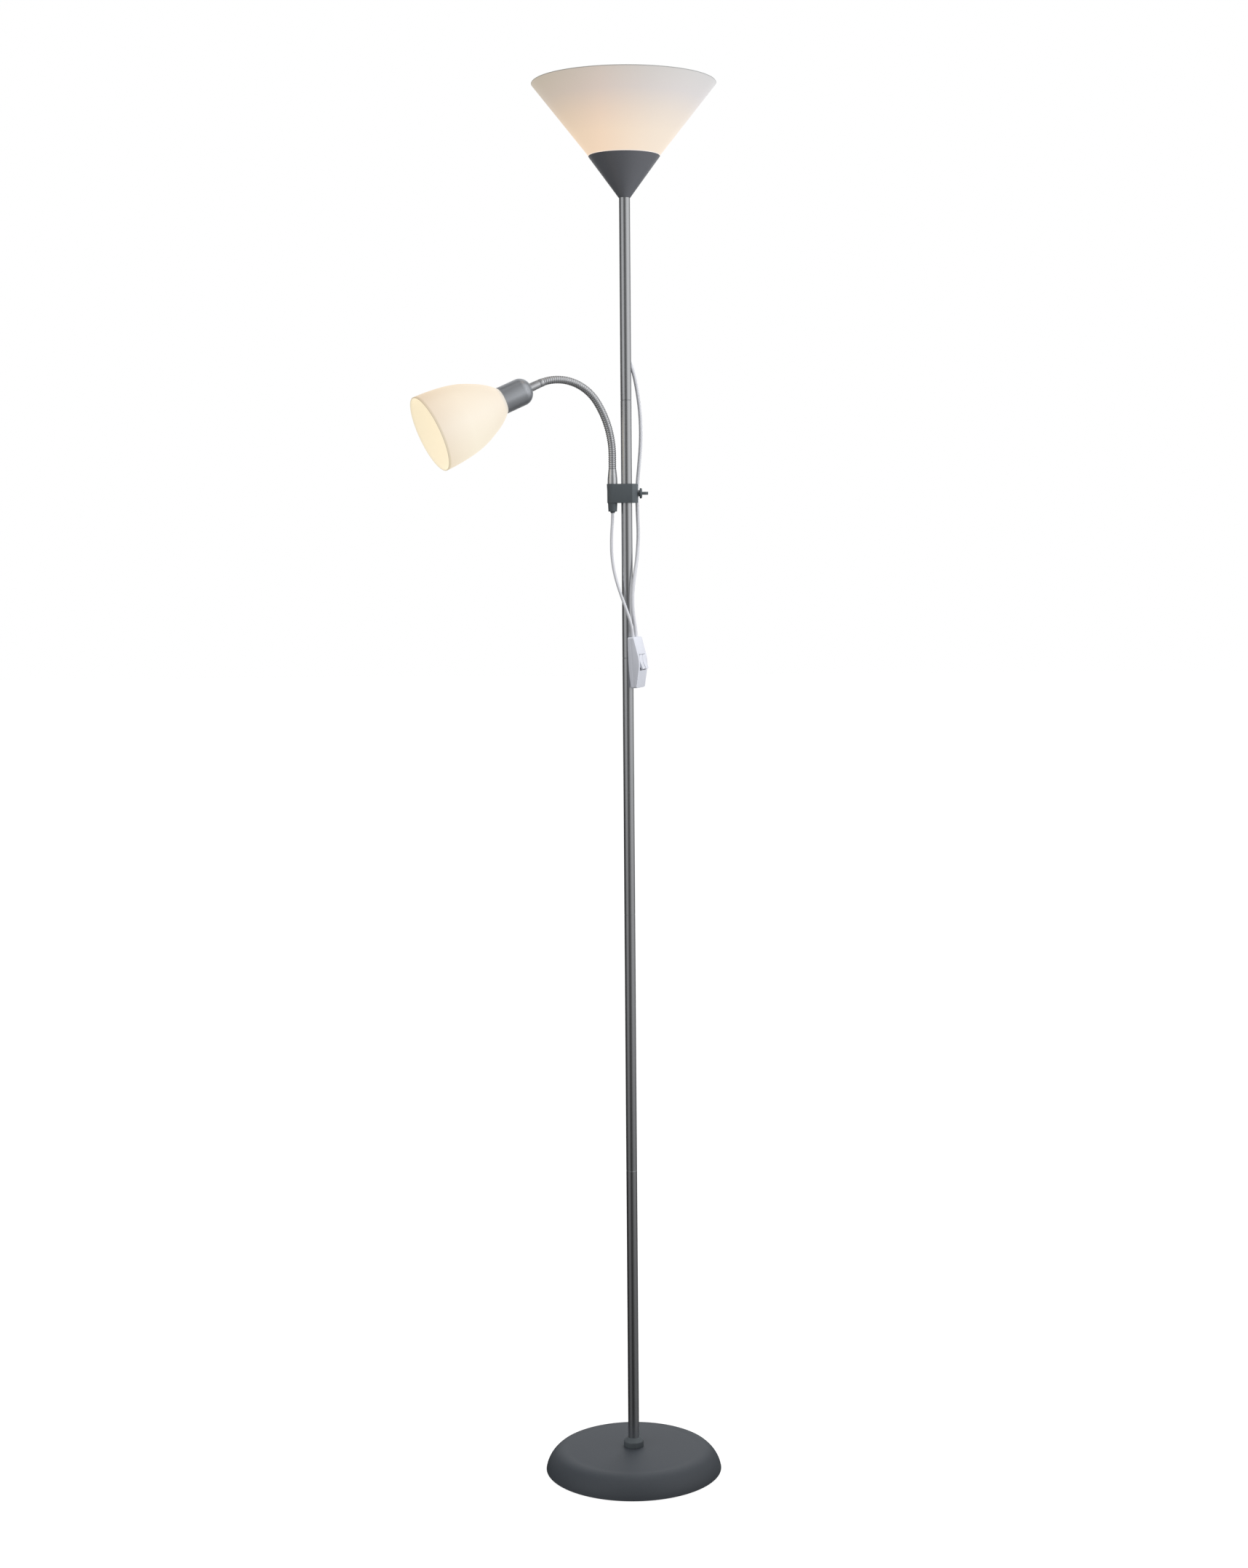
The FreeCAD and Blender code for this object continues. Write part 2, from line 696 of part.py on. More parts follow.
def thumb_screw_stud():
    start = liner_radius + pad_length + running_gap
    end = clamp_end + knob_gap + knob_neck_length + knob_flange_thickness / 2
    return rod(Vector(start, 0, clamp_centre), Vector(end, 0, clamp_centre), screw_radius)


def thumb_screw_knob():
    """Neck, round flange and flat wing, moulded round the stud's end."""
    start = clamp_end + knob_gap
    flange = start + knob_neck_length
    wing = flange + knob_flange_thickness
    stud_end = flange + knob_flange_thickness / 2
    edge = knob_flange_thickness * 0.3
    body = lathe([
        (0, start), (knob_neck_radius, start), (knob_neck_radius, flange), (knob_flange_radius - edge, flange),
        (knob_flange_radius, flange + edge), (knob_flange_radius - edge / 2, wing - edge / 3),
        (knob_neck_radius, wing), (0, wing)])
    body = body.cut(cylinder(screw_radius, start - 1, stud_end))
    half = wing_width / 2
    tip = wing + wing_length
    corner = wing_thickness * 0.9
    paddle = [
        (-half * 0.85, wing - 0.3), (half * 0.85, wing - 0.3), (half, wing + corner),
        (half * 0.8, tip - corner * 0.35, half * 0.3, tip), (-half * 0.3, tip),
        (-half * 0.8, tip - corner * 0.35, -half, wing + corner)]
    body = body.fuse(bar(paddle, wing_thickness)).removeSplitter()
    along_x = frame_at(Vector(0, 0, clamp_centre), Vector(0, 0, -1), RIGHT)
    return placed(body, along_x)


# ---------------------------------------------------------------- goose neck

first_bend = math.radians(first_bend_turn)
second_bend = math.radians(second_bend_turn)
straight_length = neck_straight_top - neck_foot_height
first_length = first_bend_radius * first_bend
second_length = second_bend_radius * second_bend
neck_length = straight_length + first_length + second_length
link_length = neck_length / link_count


def neck_point(distance):
    """Reach, height and lean in radians of the neck's middle, that far along it from the foot."""
    if distance <= straight_length:
        return 0.0, neck_foot_height + distance, 0.0
    lean = (distance - straight_length) / first_bend_radius
    if lean <= first_bend:
        return (first_bend_radius * (1 - math.cos(lean)),
                neck_straight_top + first_bend_radius * math.sin(lean), lean)
    reach = first_bend_radius * (1 - math.cos(first_bend))
    height = neck_straight_top + first_bend_radius * math.sin(first_bend)
    lean = first_bend + (distance - straight_length - first_length) / second_bend_radius
    return (reach + second_bend_radius * (math.cos(first_bend) - math.cos(lean)),
            height + second_bend_radius * (math.sin(lean) - math.sin(first_bend)), lean)


def neck_place(distance):
    reach, height, _ = neck_point(distance)
    return neck_axis + ARM * reach + UP * height


def neck_frame(distance):
    """A frame on the neck's middle: X across the arm and Z along the neck."""
    lean = neck_point(distance)[2]
    return frame_at(neck_place(distance), ACROSS, ARM * math.sin(lean) + UP * math.cos(lean))


def neck_link(index):
    """A ribbed length of the neck with its bore. The ends stop short of the joints at both ends."""
    gaps = [sway_gap if joint in (0, link_count) else bend_gap for joint in (index, index + 1)]
    start = index * link_length + gaps[0] / 2
    end = (index + 1) * link_length - gaps[1] / 2
    groove_share = 0.13
    flank_share = 0.14
    pitch = (end - start) / (ribs_per_link - groove_share)
    rings = []
    for rib in range(ribs_per_link):
        low = start + rib * pitch
        high = low + pitch * (1 - groove_share)
        flank = pitch * flank_share
        rings += [(low, neck_groove_radius), (low + flank, neck_radius),
                  (high - flank, neck_radius), (high, neck_groove_radius)]
    outer = Part.makeLoft([circle_wire(radius, neck_frame(at)) for at, radius in rings], True, True)
    steps = [start - 0.05 + (end - start + 0.1) * i / ribs_per_link for i in range(ribs_per_link + 1)]
    bore = Part.makeLoft([circle_wire(neck_bore, neck_frame(at)) for at in steps], True, True)
    return outer.cut(bore)


def neck_foot_ferrule():
    """The tapered ferrule on the clamp, with its spigot in the boss."""
    top = neck_foot_height - sway_gap / 2
    ferrule = lathe([
        (neck_cable_radius + 0.4, clamp_top - spigot_length + 0.2), (spigot_radius, clamp_top - spigot_length + 0.2),
        (spigot_radius, clamp_top), (foot_ferrule_radius, clamp_top), (foot_ferrule_radius - 0.1, clamp_top + 6.0),
        (foot_ferrule_tip_radius, top), (neck_cable_radius + 0.4, top)])
    ferrule.translate(neck_axis)
    return ferrule


head_frame = neck_frame(neck_length)      # Z runs from the end of the ribs to the reading shade's mouth


def on_head(shape):
    return placed(shape, head_frame)


def neck_cable():
    """The cable from the clamp's boss through the neck to the reading lampholder."""
    bottom = neck_axis + UP * bush_top
    straight_end = neck_place(straight_length)
    first_end = neck_place(straight_length + first_length)
    end = neck_place(neck_length)
    path = Part.Wire([
        Part.makeLine(bottom, straight_end),
        Part.Arc(straight_end, neck_place(straight_length + first_length / 2), first_end).toShape(),
        Part.Arc(first_end, neck_place(neck_length - second_length / 2), end).toShape(),
        Part.makeLine(end, head_frame.multVec(Vector(0, 0, holder_e14_start)))])
    return swept(path, neck_cable_radius)


def neck_head_ferrule():
    bore = neck_cable_radius + 0.4
    start = sway_gap / 2
    return on_head(lathe([
        (bore, start), (head_ferrule_radius - 0.7, start), (head_ferrule_radius, start + 1.2),
        (head_ferrule_radius, cover_start), (head_ferrule_spigot, cover_start),
        (head_ferrule_spigot, head_spigot_end), (bore, head_spigot_end)]))


# ---------------------------------------------------------------- reading light

def reading_cover():
    """The metal cover round the holder, domed towards the neck."""
    hole = head_ferrule_spigot + running_gap
    flat = head_ferrule_radius + 1.5
    dome = cover_start + cover_dome_length
    rise = (cover_radius - flat) * 0.26
    inner = cover_radius - cover_wall
    outside = bulge((flat, cover_start), (cover_radius, dome), rise)
    inside = bulge((flat, cover_start + cover_wall), (inner, dome), rise)
    return on_head(lathe([
        (hole, cover_start), (flat, cover_start), outside + (cover_radius, dome), (cover_radius, cover_end),
        (inner, cover_end), (inner, dome), inside + (flat, cover_start + cover_wall),
        (hole, cover_start + cover_wall)]))


def reading_lampholder():
    start, end = holder_e14_start, holder_e14_end
    neck = neck_cable_radius + 3.0
    thread = shade_neck_start - 1.0
    outer = lathe([
        (0, start), (neck, start), (neck + 4.0, start + 2.2, holder_e14_radius, start + 7.0),
        (holder_e14_radius, thread), (holder_e14_thread_radius, thread), (holder_e14_thread_radius, end), (0, end)])
    return on_head(outer.cut(cylinder(bulb_e14_cap_radius + cap_gap, bore_e14_floor, end + 1)))


def reading_lampholder_contacts():
    return on_head(contact_set(bore_e14_floor, bulb_e14_cap_radius, bore_e14_floor + contact_e14_height))


def reading_shade():
    """The bell-shaped shade, whose neck sits inside the cover."""
    start, floor = shade_neck_start, shade_neck_start + shade_floor
    depth = shade_mouth - cover_end
    shoulder = (cover_radius - 0.3, cover_end + loose_gap)
    waist = (cover_radius + 0.48 * (shade_mouth_radius - cover_radius), cover_end + 0.25 * depth)
    belly = (cover_radius + 0.86 * (shade_mouth_radius - cover_radius), cover_end + 0.56 * depth)
    mouth = (shade_mouth_radius, shade_mouth)
    low_mid = bulge(shoulder, waist, 2.0)
    mid_mid = bulge(waist, belly, 1.7)
    high_mid = bulge(belly, mouth, 1.0)

    def inward(point):
        return point[0] - shade_wall, point[1] + shade_wall * 0.25

    inner_neck = shade_neck_radius - shade_wall
    hole = holder_e14_thread_radius + 0.1
    outer = [shoulder, low_mid + waist, mid_mid + belly, high_mid + mouth]
    back = [(mouth[0] - shade_wall / 2, mouth[1] + 0.6, mouth[0] - shade_wall, mouth[1]),
            inward(high_mid) + inward(belly), inward(mid_mid) + inward(waist),
            inward(low_mid) + (inner_neck, cover_end + 1.0)]
    neck_out = [(hole, start), (shade_neck_radius, start), (shade_neck_radius, shoulder[1])]
    return on_head(lathe(neck_out + outer + back + [(inner_neck, floor), (hole, floor)]))


def reading_shade_ring():
    ring = shade_ring(ring_e14_radius, holder_e14_thread_radius, shade_neck_start + shade_floor, ring_thickness * 0.7)
    return on_head(ring)


def reading_bulb_glass():
    foot = holder_e14_end + loose_gap
    centre = foot + bulb_e14_length - bulb_e14_radius
    neck = bulb_e14_cap_radius + 0.8
    tangent = math.radians(30)
    side = (bulb_e14_radius * math.cos(tangent), centre - bulb_e14_radius * math.sin(tangent))
    return on_head(lathe([
        (0, foot), (neck, foot), bulge((neck, foot), side, 1.2) + side,
        (bulb_e14_radius, centre, bulb_e14_radius * math.cos(tangent), centre + bulb_e14_radius * math.sin(tangent)),
        (bulb_e14_radius * 0.5, centre + bulb_e14_radius * math.sqrt(0.75), 0, centre + bulb_e14_radius)]))


def reading_bulb_cap():
    return on_head(bulb_cap(bulb_e14_cap_radius, cap_e14_bottom, holder_e14_end + loose_gap))


# ---------------------------------------------------------------- cord switch

lean_rotation = FreeCAD.Rotation(Vector(0, 1, 0), -switch_tilt)
turn_rotation = FreeCAD.Rotation(UP, 180 + switch_turn)
switch_frame = FreeCAD.Placement(switch_centre, lean_rotation.multiply(turn_rotation))
switch_shoulder_depth = switch_end_depth + (switch_half - switch_flat) * math.tan(math.radians(switch_slope))
switch_depth = switch_shoulder_depth + switch_flat * math.tan(math.radians(switch_slope / 2))
pivot_depth = switch_depth - rocker_pivot_depth


def switch_body():
    """The whole housing as one solid, rounded at its edges."""
    half, flat = switch_half, switch_flat
    body = bar([
        (switch_end_depth, -half), (switch_shoulder_depth, -flat), (switch_depth, 0, switch_shoulder_depth, flat),
        (switch_end_depth, half), (0, half), (-switch_back_bulge, 0, 0, -half)], switch_width)
    side = switch_width / 2
    corners = [e for e in body.Edges
               if abs(abs(e.CenterOfMass.z) - half) < 0.01 and abs(abs(e.CenterOfMass.x) - side) < 0.01]
    return body.makeFillet(switch_corner, corners)


def switch_hollow():
    """What is cut from both halves: the cavity, the rocker openings, the axle's bore and the screw holes."""
    side = switch_width / 2 - switch_side_wall
    inner = switch_depth - switch_front_wall - rocker_pivot_depth / 2
    slope = switch_cavity - 7.0
    hollow = bar([
        (switch_back_wall, -switch_cavity), (switch_seam, -switch_cavity), (inner, -slope), (inner, slope),
        (switch_seam, switch_cavity), (switch_back_wall, switch_cavity)], 2 * side)
    reach = rocker_length / 2 + 0.9
    half = rocker_width / 2 + 0.3
    for sign in (-1, 1):
        middle = sign * rocker_pitch / 2
        hollow = hollow.fuse(block((middle - half, inner - 1, -reach), (middle + half, switch_depth + 3, reach)))
        entry = Vector(-sign * cord_pitch / 2, switch_seam, 0)
        hole = (reading_cord_radius if sign < 0 else upper_cord_radius) + entry_gap
        hollow = hollow.fuse(rod(entry + UP * (switch_cavity - 2), entry + UP * (switch_half + 1), hole))
    return hollow.fuse(rocker_axle_rod(axle_radius + 0.02))


def rocker_axle_rod(radius):
    reach = switch_width / 2 - switch_side_wall
    return rod(Vector(-reach, pivot_depth, 0), Vector(reach, pivot_depth, 0), radius)


def housing_screw(height):
    """A slotted screw from the back through both halves."""
    head = rod(Vector(0, 0.1, height), Vector(0, 1.0, height), 2.0)
    slot = block((-2.5, -0.1, height - 0.25), (2.5, 0.5, height + 0.25))
    shank = rod(Vector(0, 1.0, height), Vector(0, switch_seam + 3.0, height), housing_screw_radius)
    return head.fuse(shank).cut(slot)


def screw_hole(height):
    pocket = rod(Vector(0, -3, height), Vector(0, 1.0, height), 2.1)
    return pocket.fuse(rod(Vector(0, 1.0, height), Vector(0, switch_seam + 3.3, height), housing_screw_radius + 0.02))


def switch_halves():
    body = switch_body().cut(switch_hollow())
    for sign in (-1, 1):
        body = body.cut(screw_hole(sign * screw_height))
    half = switch_length
    behind = block((-half, -half, -half), (half, switch_seam, half))
    return body.cut(behind), body.common(behind)


def rocker(sign):
    """A rocker with a dished top, pressed in at its upper end."""
    reach = rocker_length / 2
    rocker_body = bar([
        (-2.6, -3.2), (1.2, -reach), (rocker_rise, -reach), (rocker_dip, 0), (rocker_rise, reach),
        (1.2, reach), (-2.6, 3.2)], rocker_width)
    rocker_body = rocker_body.cut(rod(Vector(-rocker_width, 0, 0), Vector(rocker_width, 0, 0),
                                      axle_radius + running_gap))
    rocker_body.rotate(Vector(0, 0, 0), RIGHT, rocker_tilt)
    rocker_body.translate(Vector(sign * rocker_pitch / 2, pivot_depth, 0))
    return rocker_body


def switch_contacts():
    """Three brass strips on the back half's floor, each with a post towards the rockers."""
    strips = []
    for middle, low in ((-rocker_pitch / 2, -2.0), (rocker_pitch / 2, -2.0), (0.0, -16.0)):
        floor = switch_back_wall
        strip = block((middle - 2, floor, low), (middle + 2, floor + 0.8, low + 12))
        post = block((middle - 2, floor, low + 5.5), (middle + 2, floor + 5.0, low + 6.5))
        strips.append(strip.fuse(post).removeSplitter())
    return Part.makeCompound(strips)


def on_switch(shape):
    return placed(shape, switch_frame)


# ---------------------------------------------------------------- the parts

parts = {
    "base_shell": base_shell(),
    "base_weight": base_weight(),
    "base_pad": base_pad(),
    "base_washer": base_washer(),
    "base_collar": base_collar(),
    "mains_inlet_grommet": mains_inlet_grommet(),
    "nipple_nuts": Part.makeCompound([nut(nipple_bottom + 0.5), nut(cup_floor_top)]),
    "threaded_nipples": Part.makeCompound([nipple(nipple_bottom), nipple(top_nipple_bottom)]),
    "pole_joiners": pole_joiners(),
    "pole_inserts": pole_inserts(),
    "pole_cable": pole_cable(),
    "upper_cable": upper_cable(),
    "top_cup": top_cup(),
    "top_lampholder": top_lampholder(),
    "top_lampholder_contacts": top_lampholder_contacts(),
    "top_shade": top_shade(),
    "top_shade_ring": shade_ring(ring_e27_radius, holder_e27_thread_radius, bowl_floor_height + bowl_wall,
                                 ring_thickness),
    "top_bulb_glass": top_bulb_glass(),
    "top_bulb_cap": top_bulb_cap(),
    "clamp_liner": clamp_liner(),
    "clamp_block": clamp_block(),
    "cord_bush": cord_bush(),
    "screw_pad": screw_pad(),
    "thumb_screw_stud": thumb_screw_stud(),
    "thumb_screw_knob": thumb_screw_knob(),
    "neck_foot_ferrule": neck_foot_ferrule(),
    "neck_cable": neck_cable(),
    "neck_head_ferrule": neck_head_ferrule(),
    "reading_cover": reading_cover(),
    "reading_lampholder": reading_lampholder(),
    "reading_lampholder_contacts": reading_lampholder_contacts(),
    "reading_shade": reading_shade(),
    "reading_shade_ring": reading_shade_ring(),
    "reading_bulb_glass": reading_bulb_glass(),
    "reading_bulb_cap": reading_bulb_cap(),
    "rocker_upper_light": on_switch(rocker(-1)),
    "rocker_reading_light": on_switch(rocker(1)),
    "rocker_axle": on_switch(rocker_axle_rod(axle_radius)),
    "switch_contacts": on_switch(switch_contacts()),
    "switch_screws": on_switch(Part.makeCompound([housing_screw(sign * screw_height) for sign in (-1, 1)])),
    "upper_cord": cord_path("upper cord", upper_cord_route, upper_cord_radius),
    "reading_cord": cord_path("reading cord", reading_cord_route, reading_cord_radius),
}
for number, section in enumerate(pole_sections(), 1):
    parts[f"pole_section_{number}"] = section
for number in range(link_count):
    parts[f"neck_link_{number + 1}"] = neck_link(number)
parts["switch_front"], parts["switch_back"] = (on_switch(half) for half in switch_halves())

os.makedirs("parts", exist_ok=True)
for name, shape in parts.items():
    if not shape.isValid() or not shape.Solids:
        raise ValueError(f"{name} isn't a valid solid")
    shape.exportStep(f"parts/{name}.step")

# Places that the joints turn about, and the two points where the cords enter the switch
print(f"neck length {neck_length:.2f}, link {link_length:.3f}")
for number in range(link_count + 1):
    spot = neck_place(number * link_length)
    print(f"neck joint {number}: {spot.x:.3f} {spot.y:.3f} {spot.z:.3f}"
          f" lean {math.degrees(neck_point(number * link_length)[2]):.2f}")
print("head axis", head_frame.Rotation.multVec(UP))
print("rocker pivot", switch_frame.multVec(Vector(0, pivot_depth, 0)),
      "axis", switch_frame.Rotation.multVec(RIGHT))
for name, sign in (("upper cord", -1), ("reading cord", 1)):
    for height in (38, 20):
        print(name, "entry", switch_frame.multVec(Vector(sign * cord_pitch / 2, switch_seam, height)))
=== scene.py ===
# %% [markdown]
# # A floor lamp with a reading light, dressed for its picture
# The lamp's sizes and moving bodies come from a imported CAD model. This file gives it its looks: smooth turned
# pieces in place of the faceted ones, a ribbed goose neck, soft cords, paints and plastics, and a studio.
# Every piece is made in metres at the place where the CAD model has it, and then rides on one of its bodies.

# %% Load the frame
import bpy
import json
import math
from mathutils import Euler, Matrix, Vector

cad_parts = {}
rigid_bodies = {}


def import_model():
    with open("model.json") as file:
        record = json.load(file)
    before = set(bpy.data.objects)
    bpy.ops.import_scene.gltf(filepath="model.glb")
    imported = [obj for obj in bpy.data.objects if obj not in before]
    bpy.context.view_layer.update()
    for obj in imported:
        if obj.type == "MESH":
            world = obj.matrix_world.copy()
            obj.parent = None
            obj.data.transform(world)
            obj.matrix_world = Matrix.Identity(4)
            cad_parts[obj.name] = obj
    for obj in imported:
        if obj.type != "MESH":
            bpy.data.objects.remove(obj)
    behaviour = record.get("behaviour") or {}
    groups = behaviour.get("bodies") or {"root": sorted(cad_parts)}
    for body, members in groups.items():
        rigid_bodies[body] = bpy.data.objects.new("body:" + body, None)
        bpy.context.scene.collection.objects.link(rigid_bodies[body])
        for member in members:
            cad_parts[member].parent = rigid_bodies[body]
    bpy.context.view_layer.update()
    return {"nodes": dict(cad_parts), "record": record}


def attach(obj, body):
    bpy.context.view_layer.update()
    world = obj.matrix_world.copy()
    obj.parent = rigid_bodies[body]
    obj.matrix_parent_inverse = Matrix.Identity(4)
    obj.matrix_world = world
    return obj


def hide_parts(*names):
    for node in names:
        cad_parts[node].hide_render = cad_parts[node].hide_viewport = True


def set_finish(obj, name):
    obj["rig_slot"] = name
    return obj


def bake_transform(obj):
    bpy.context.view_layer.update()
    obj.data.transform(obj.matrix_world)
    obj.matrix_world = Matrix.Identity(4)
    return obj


MM = 0.001                               # outlines and routes are written in millimetres
SAME_PLACE = 1e-6                        # metres; vertices nearer than this are merged

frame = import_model()
nodes = frame["nodes"]
print("CAD nodes:", len(nodes))

# %% [markdown]
# ## The camera
# The photograph was taken from in front, at a height between the switch and the clamp, with a long lens: the
# base shows its top, and the bowl's mouth is seen from below. The picture is also turned by less than half a
# degree. The lens, the tilt and the shift were found by matching the pole's joints, the base and the rims of
# both shades.

# %% Camera
picture_side = 2156                      # long side of the photograph in pixels
focal_pixels = 3271.8
camera_tilt = math.radians(-1.146)       # looks a little down
picture_turn = -0.0075                   # radians
camera_place = (0.0, -3.0495, 1.179)     # metres
sensor_side = 36.0                       # millimetres

camera_data = bpy.data.cameras.new("camera")
camera_data.sensor_width = sensor_side
camera_data.lens = sensor_side * focal_pixels / picture_side
camera_data.shift_x = -0.0022
camera_data.shift_y = -0.1163
camera = bpy.data.objects.new("camera", camera_data)
bpy.context.scene.collection.objects.link(camera)
level_view = Euler((math.pi / 2 + camera_tilt, 0, 0)).to_matrix()
camera.rotation_euler = (level_view @ Matrix.Rotation(picture_turn, 3, "Z")).to_euler()
camera.location = camera_place
bpy.context.scene.camera = camera
print("lens:", round(camera_data.lens, 2), "mm")

# %% [markdown]
# ## The two cords
# The switch hangs beside the pole on two round plastic cords. One comes out of a slanting hole high up in
# the pole, bows out past the clamp and comes forward to the switch. The thinner one leaves the clamp's boss,
# hangs down the left side and crosses in front of the pole. A cord takes smooth curves, so each route is a
# handful of control points of a NURBS spline of order 3. The spline is given its thickness with the curve's
# bevel and then made a mesh, because only a mesh can bend between two bodies when the clamp is moved.

# %% Routes of the cords
upper_cord_diameter, reading_cord_diameter = 0.0046, 0.0038     # metres
upper_cord_route = [                                            # millimetres, from the pole down
    (2.7, 1.0, 1432.0), (9.0, 3.0, 1416.0), (14.8, 5.5, 1387.0), (18.4, 7.5, 1357.0), (18.9, 9.3, 1324.0),
    (16.2, 11.2, 1293.0), (13.2, 12.6, 1263.0), (13.7, 11.5, 1233.0), (15.0, 7.0, 1204.0),
    (13.0, 0.0, 1175.0), (8.8, -9.0, 1149.0), (6.1, -12.4, 1125.0), (7.0, -12.1, 1103.0),
    (10.27, -11.08, 1082.94), (11.54, -11.08, 1060.98),
]
reading_cord_route = [                                          # from the clamp down
    (-18.0, 0.0, 1239.5), (-18.0, 0.0, 1226.0), (-19.9, -0.5, 1203.0), (-19.9, -1.2, 1177.0),
    (-16.2, -4.6, 1153.0), (-9.4, -11.0, 1130.0), (-0.5, -16.4, 1106.0),
    (6.73, -18.7, 1082.74), (8.0, -18.7, 1060.77),
]
print("control points:", len(upper_cord_route), "and", len(reading_cord_route))

# %% A helper for round cords
def deselect_all():
    if bpy.context.object and bpy.context.object.mode != "OBJECT":
        bpy.ops.object.mode_set(mode="OBJECT")
    bpy.ops.object.select_all(action="DESELECT")


def pick(piece):
    deselect_all()
    bpy.context.view_layer.objects.active = piece
    piece.select_set(True)


def round_cord(name, route, diameter):
    """A mesh cord along a NURBS route in millimetres, and the points of its centre line in metres."""
    curve = bpy.data.curves.new(name, "CURVE")
    curve.dimensions = "3D"
    curve.resolution_u = 10
    spline = curve.splines.new("NURBS")
    spline.points.add(len(route) - 1)
    for point, place in zip(spline.points, route):
        point.co = (*(Vector(place) * MM), 1.0)
    spline.order_u = 3
    spline.use_endpoint_u = True
    piece = bpy.data.objects.new(name, curve)
    bpy.context.scene.collection.objects.link(piece)
    bpy.context.view_layer.update()
    line = bpy.data.meshes.new_from_object(piece)
    path = [tuple(v.co) for v in line.vertices]
    curve.bevel_depth = diameter / 2
    curve.bevel_resolution = 6
    curve.use_fill_caps = True
    pick(piece)
    bpy.ops.object.convert(target="MESH")
    piece = bpy.context.object
    bpy.ops.object.shade_smooth_by_angle(angle=math.radians(50))
    length = sum((Vector(b) - Vector(a)).length for a, b in zip(path, path[1:]))
    print(name, "is", round(length, 4), "m long in", len(path), "points")
    return piece, path, length


# %% Cords
upper_cord, upper_path, upper_length = round_cord("cord_to_pole", upper_cord_route, upper_cord_diameter)
reading_cord, reading_path, reading_length = round_cord(
    "cord_to_reading_light", reading_cord_route, reading_cord_diameter)
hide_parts("upper_cord")
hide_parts("reading_cord")
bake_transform(upper_cord)
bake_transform(reading_cord)

# %% [markdown]
# ## Turned pieces
# Bowl, cup, base, cover and shade are all round, and their makers spin, press or blow them round an axis. The
# same is done here: one vertex is extruded along half of the outline, the outline is spun about its axis with
# the Spin operator, and the first and last copies are merged. Arcs in the outline are drawn through three
# points, as in the CAD model, so both have nearly the same form.

# %% Helpers for turned pieces
def arc(start, middle, end, steps):
    """The points after start on the arc through three points of an outline."""
    a, b, c = Vector(start), Vector(middle), Vector(end)
    turn = 2 * (a.x * (b.y - c.y) + b.x * (c.y - a.y) + c.x * (a.y - b.y))
    centre = Vector((
        (a.dot(a) * (b.y - c.y) + b.dot(b) * (c.y - a.y) + c.dot(c) * (a.y - b.y)) / turn,
        (a.dot(a) * (c.x - b.x) + b.dot(b) * (a.x - c.x) + c.dot(c) * (b.x - a.x)) / turn))
    spread = (a - centre).angle_signed(c - centre)
    return [tuple(centre + Matrix.Rotation(-spread * (i + 1) / steps, 2) @ (a - centre))
            for i in range(steps)]


def bulge(start, end, rise):
    """The middle of an arc from start to end that rises to the right of the way between them."""
    way = Vector(end) - Vector(start)
    return tuple((Vector(start) + Vector(end)) / 2 + Vector((way.y, -way.x)).normalized() * rise)


def turned(name, outline, place=Matrix.Identity(4), steps=96, smooth=35):
    """Spin an outline of (radius, height) points in millimetres about Z, then put the piece in place."""
    deselect_all()
    points = [Vector((r * MM, 0.0, z * MM)) for r, z in outline]
    bpy.ops.mesh.primitive_plane_add(size=MM)
    piece = bpy.context.object
    piece.name = piece.data.name = name
    bpy.ops.object.mode_set(mode="EDIT")
    bpy.ops.mesh.merge(type="CENTER")
    bpy.ops.transform.translate(value=points[0])
    for last, point in zip(points, points[1:]):
        bpy.ops.mesh.extrude_region_move(TRANSFORM_OT_translate={"value": point - last})
    bpy.ops.mesh.select_all(action="SELECT")
    bpy.ops.mesh.spin(steps=steps, angle=2 * math.pi, center=(0, 0, 0), axis=(0, 0, 1))
    bpy.ops.mesh.select_all(action="SELECT")
    bpy.ops.mesh.remove_doubles(threshold=SAME_PLACE)
    bpy.ops.mesh.normals_make_consistent(inside=False)
    bpy.ops.object.mode_set(mode="OBJECT")
    piece.matrix_world = place
    bpy.ops.object.transform_apply(location=True, rotation=True, scale=True)
    bpy.ops.object.shade_smooth_by_angle(angle=math.radians(smooth))
    print(name, len(piece.data.polygons), "faces")
    return piece


# %% [markdown]
# ## The bowl and its cup
# The bowl is blown opal with a flat floor that a ring holds down on the lampholder, and a wall two
# millimetres thick whose rim is fire-polished round. The cup below it is a thin cone. Both lie on one
# straight slope, which is what makes the lamp's head look like a single cone in two colours.

# %% Bowl and cup
cup_rim, cup_foot = (46.0, 1687.0), (7.6, 1634.0)
bowl_foot, bowl_rim = (45.2, 1687.0), (118.2, 1780.0)


def bowl_radius(height):
    """The radius of the bowl's slope at a height."""
    share = (height - bowl_foot[1]) / (bowl_rim[1] - bowl_foot[1])
    return bowl_foot[0] + share * (bowl_rim[0] - bowl_foot[0])


bowl = turned("bowl", [
    (19.8, 1681.0), (bowl_radius(1681.0) - 0.6, 1681.0), (bowl_radius(1681.6), 1681.6),
    (bowl_rim[0], 1779.2),
    *arc((bowl_rim[0], 1779.2), (117.0, 1780.0), (115.7, 1779.2), 6),
    (bowl_radius(1683.0) - 2.5, 1683.0), (19.8, 1683.0), (19.8, 1681.0)], steps=160)
cup = turned("cup", [
    (7.15, 1640.0), (7.15, 1634.0), (cup_foot[0] - 0.2, 1634.0), (cup_foot[0] + 0.05, 1634.25),
    (cup_rim[0] - 0.15, 1686.7), (cup_rim[0] - 0.25, 1687.0), (45.4, 1687.0), (13.0, 1643.0), (5.2, 1643.0),
    (5.2, 1640.0), (7.15, 1640.0)], steps=128)
for piece, node in ((bowl, "top_shade"), (cup, "top_cup")):
    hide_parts(node)
    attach(piece, "stand")
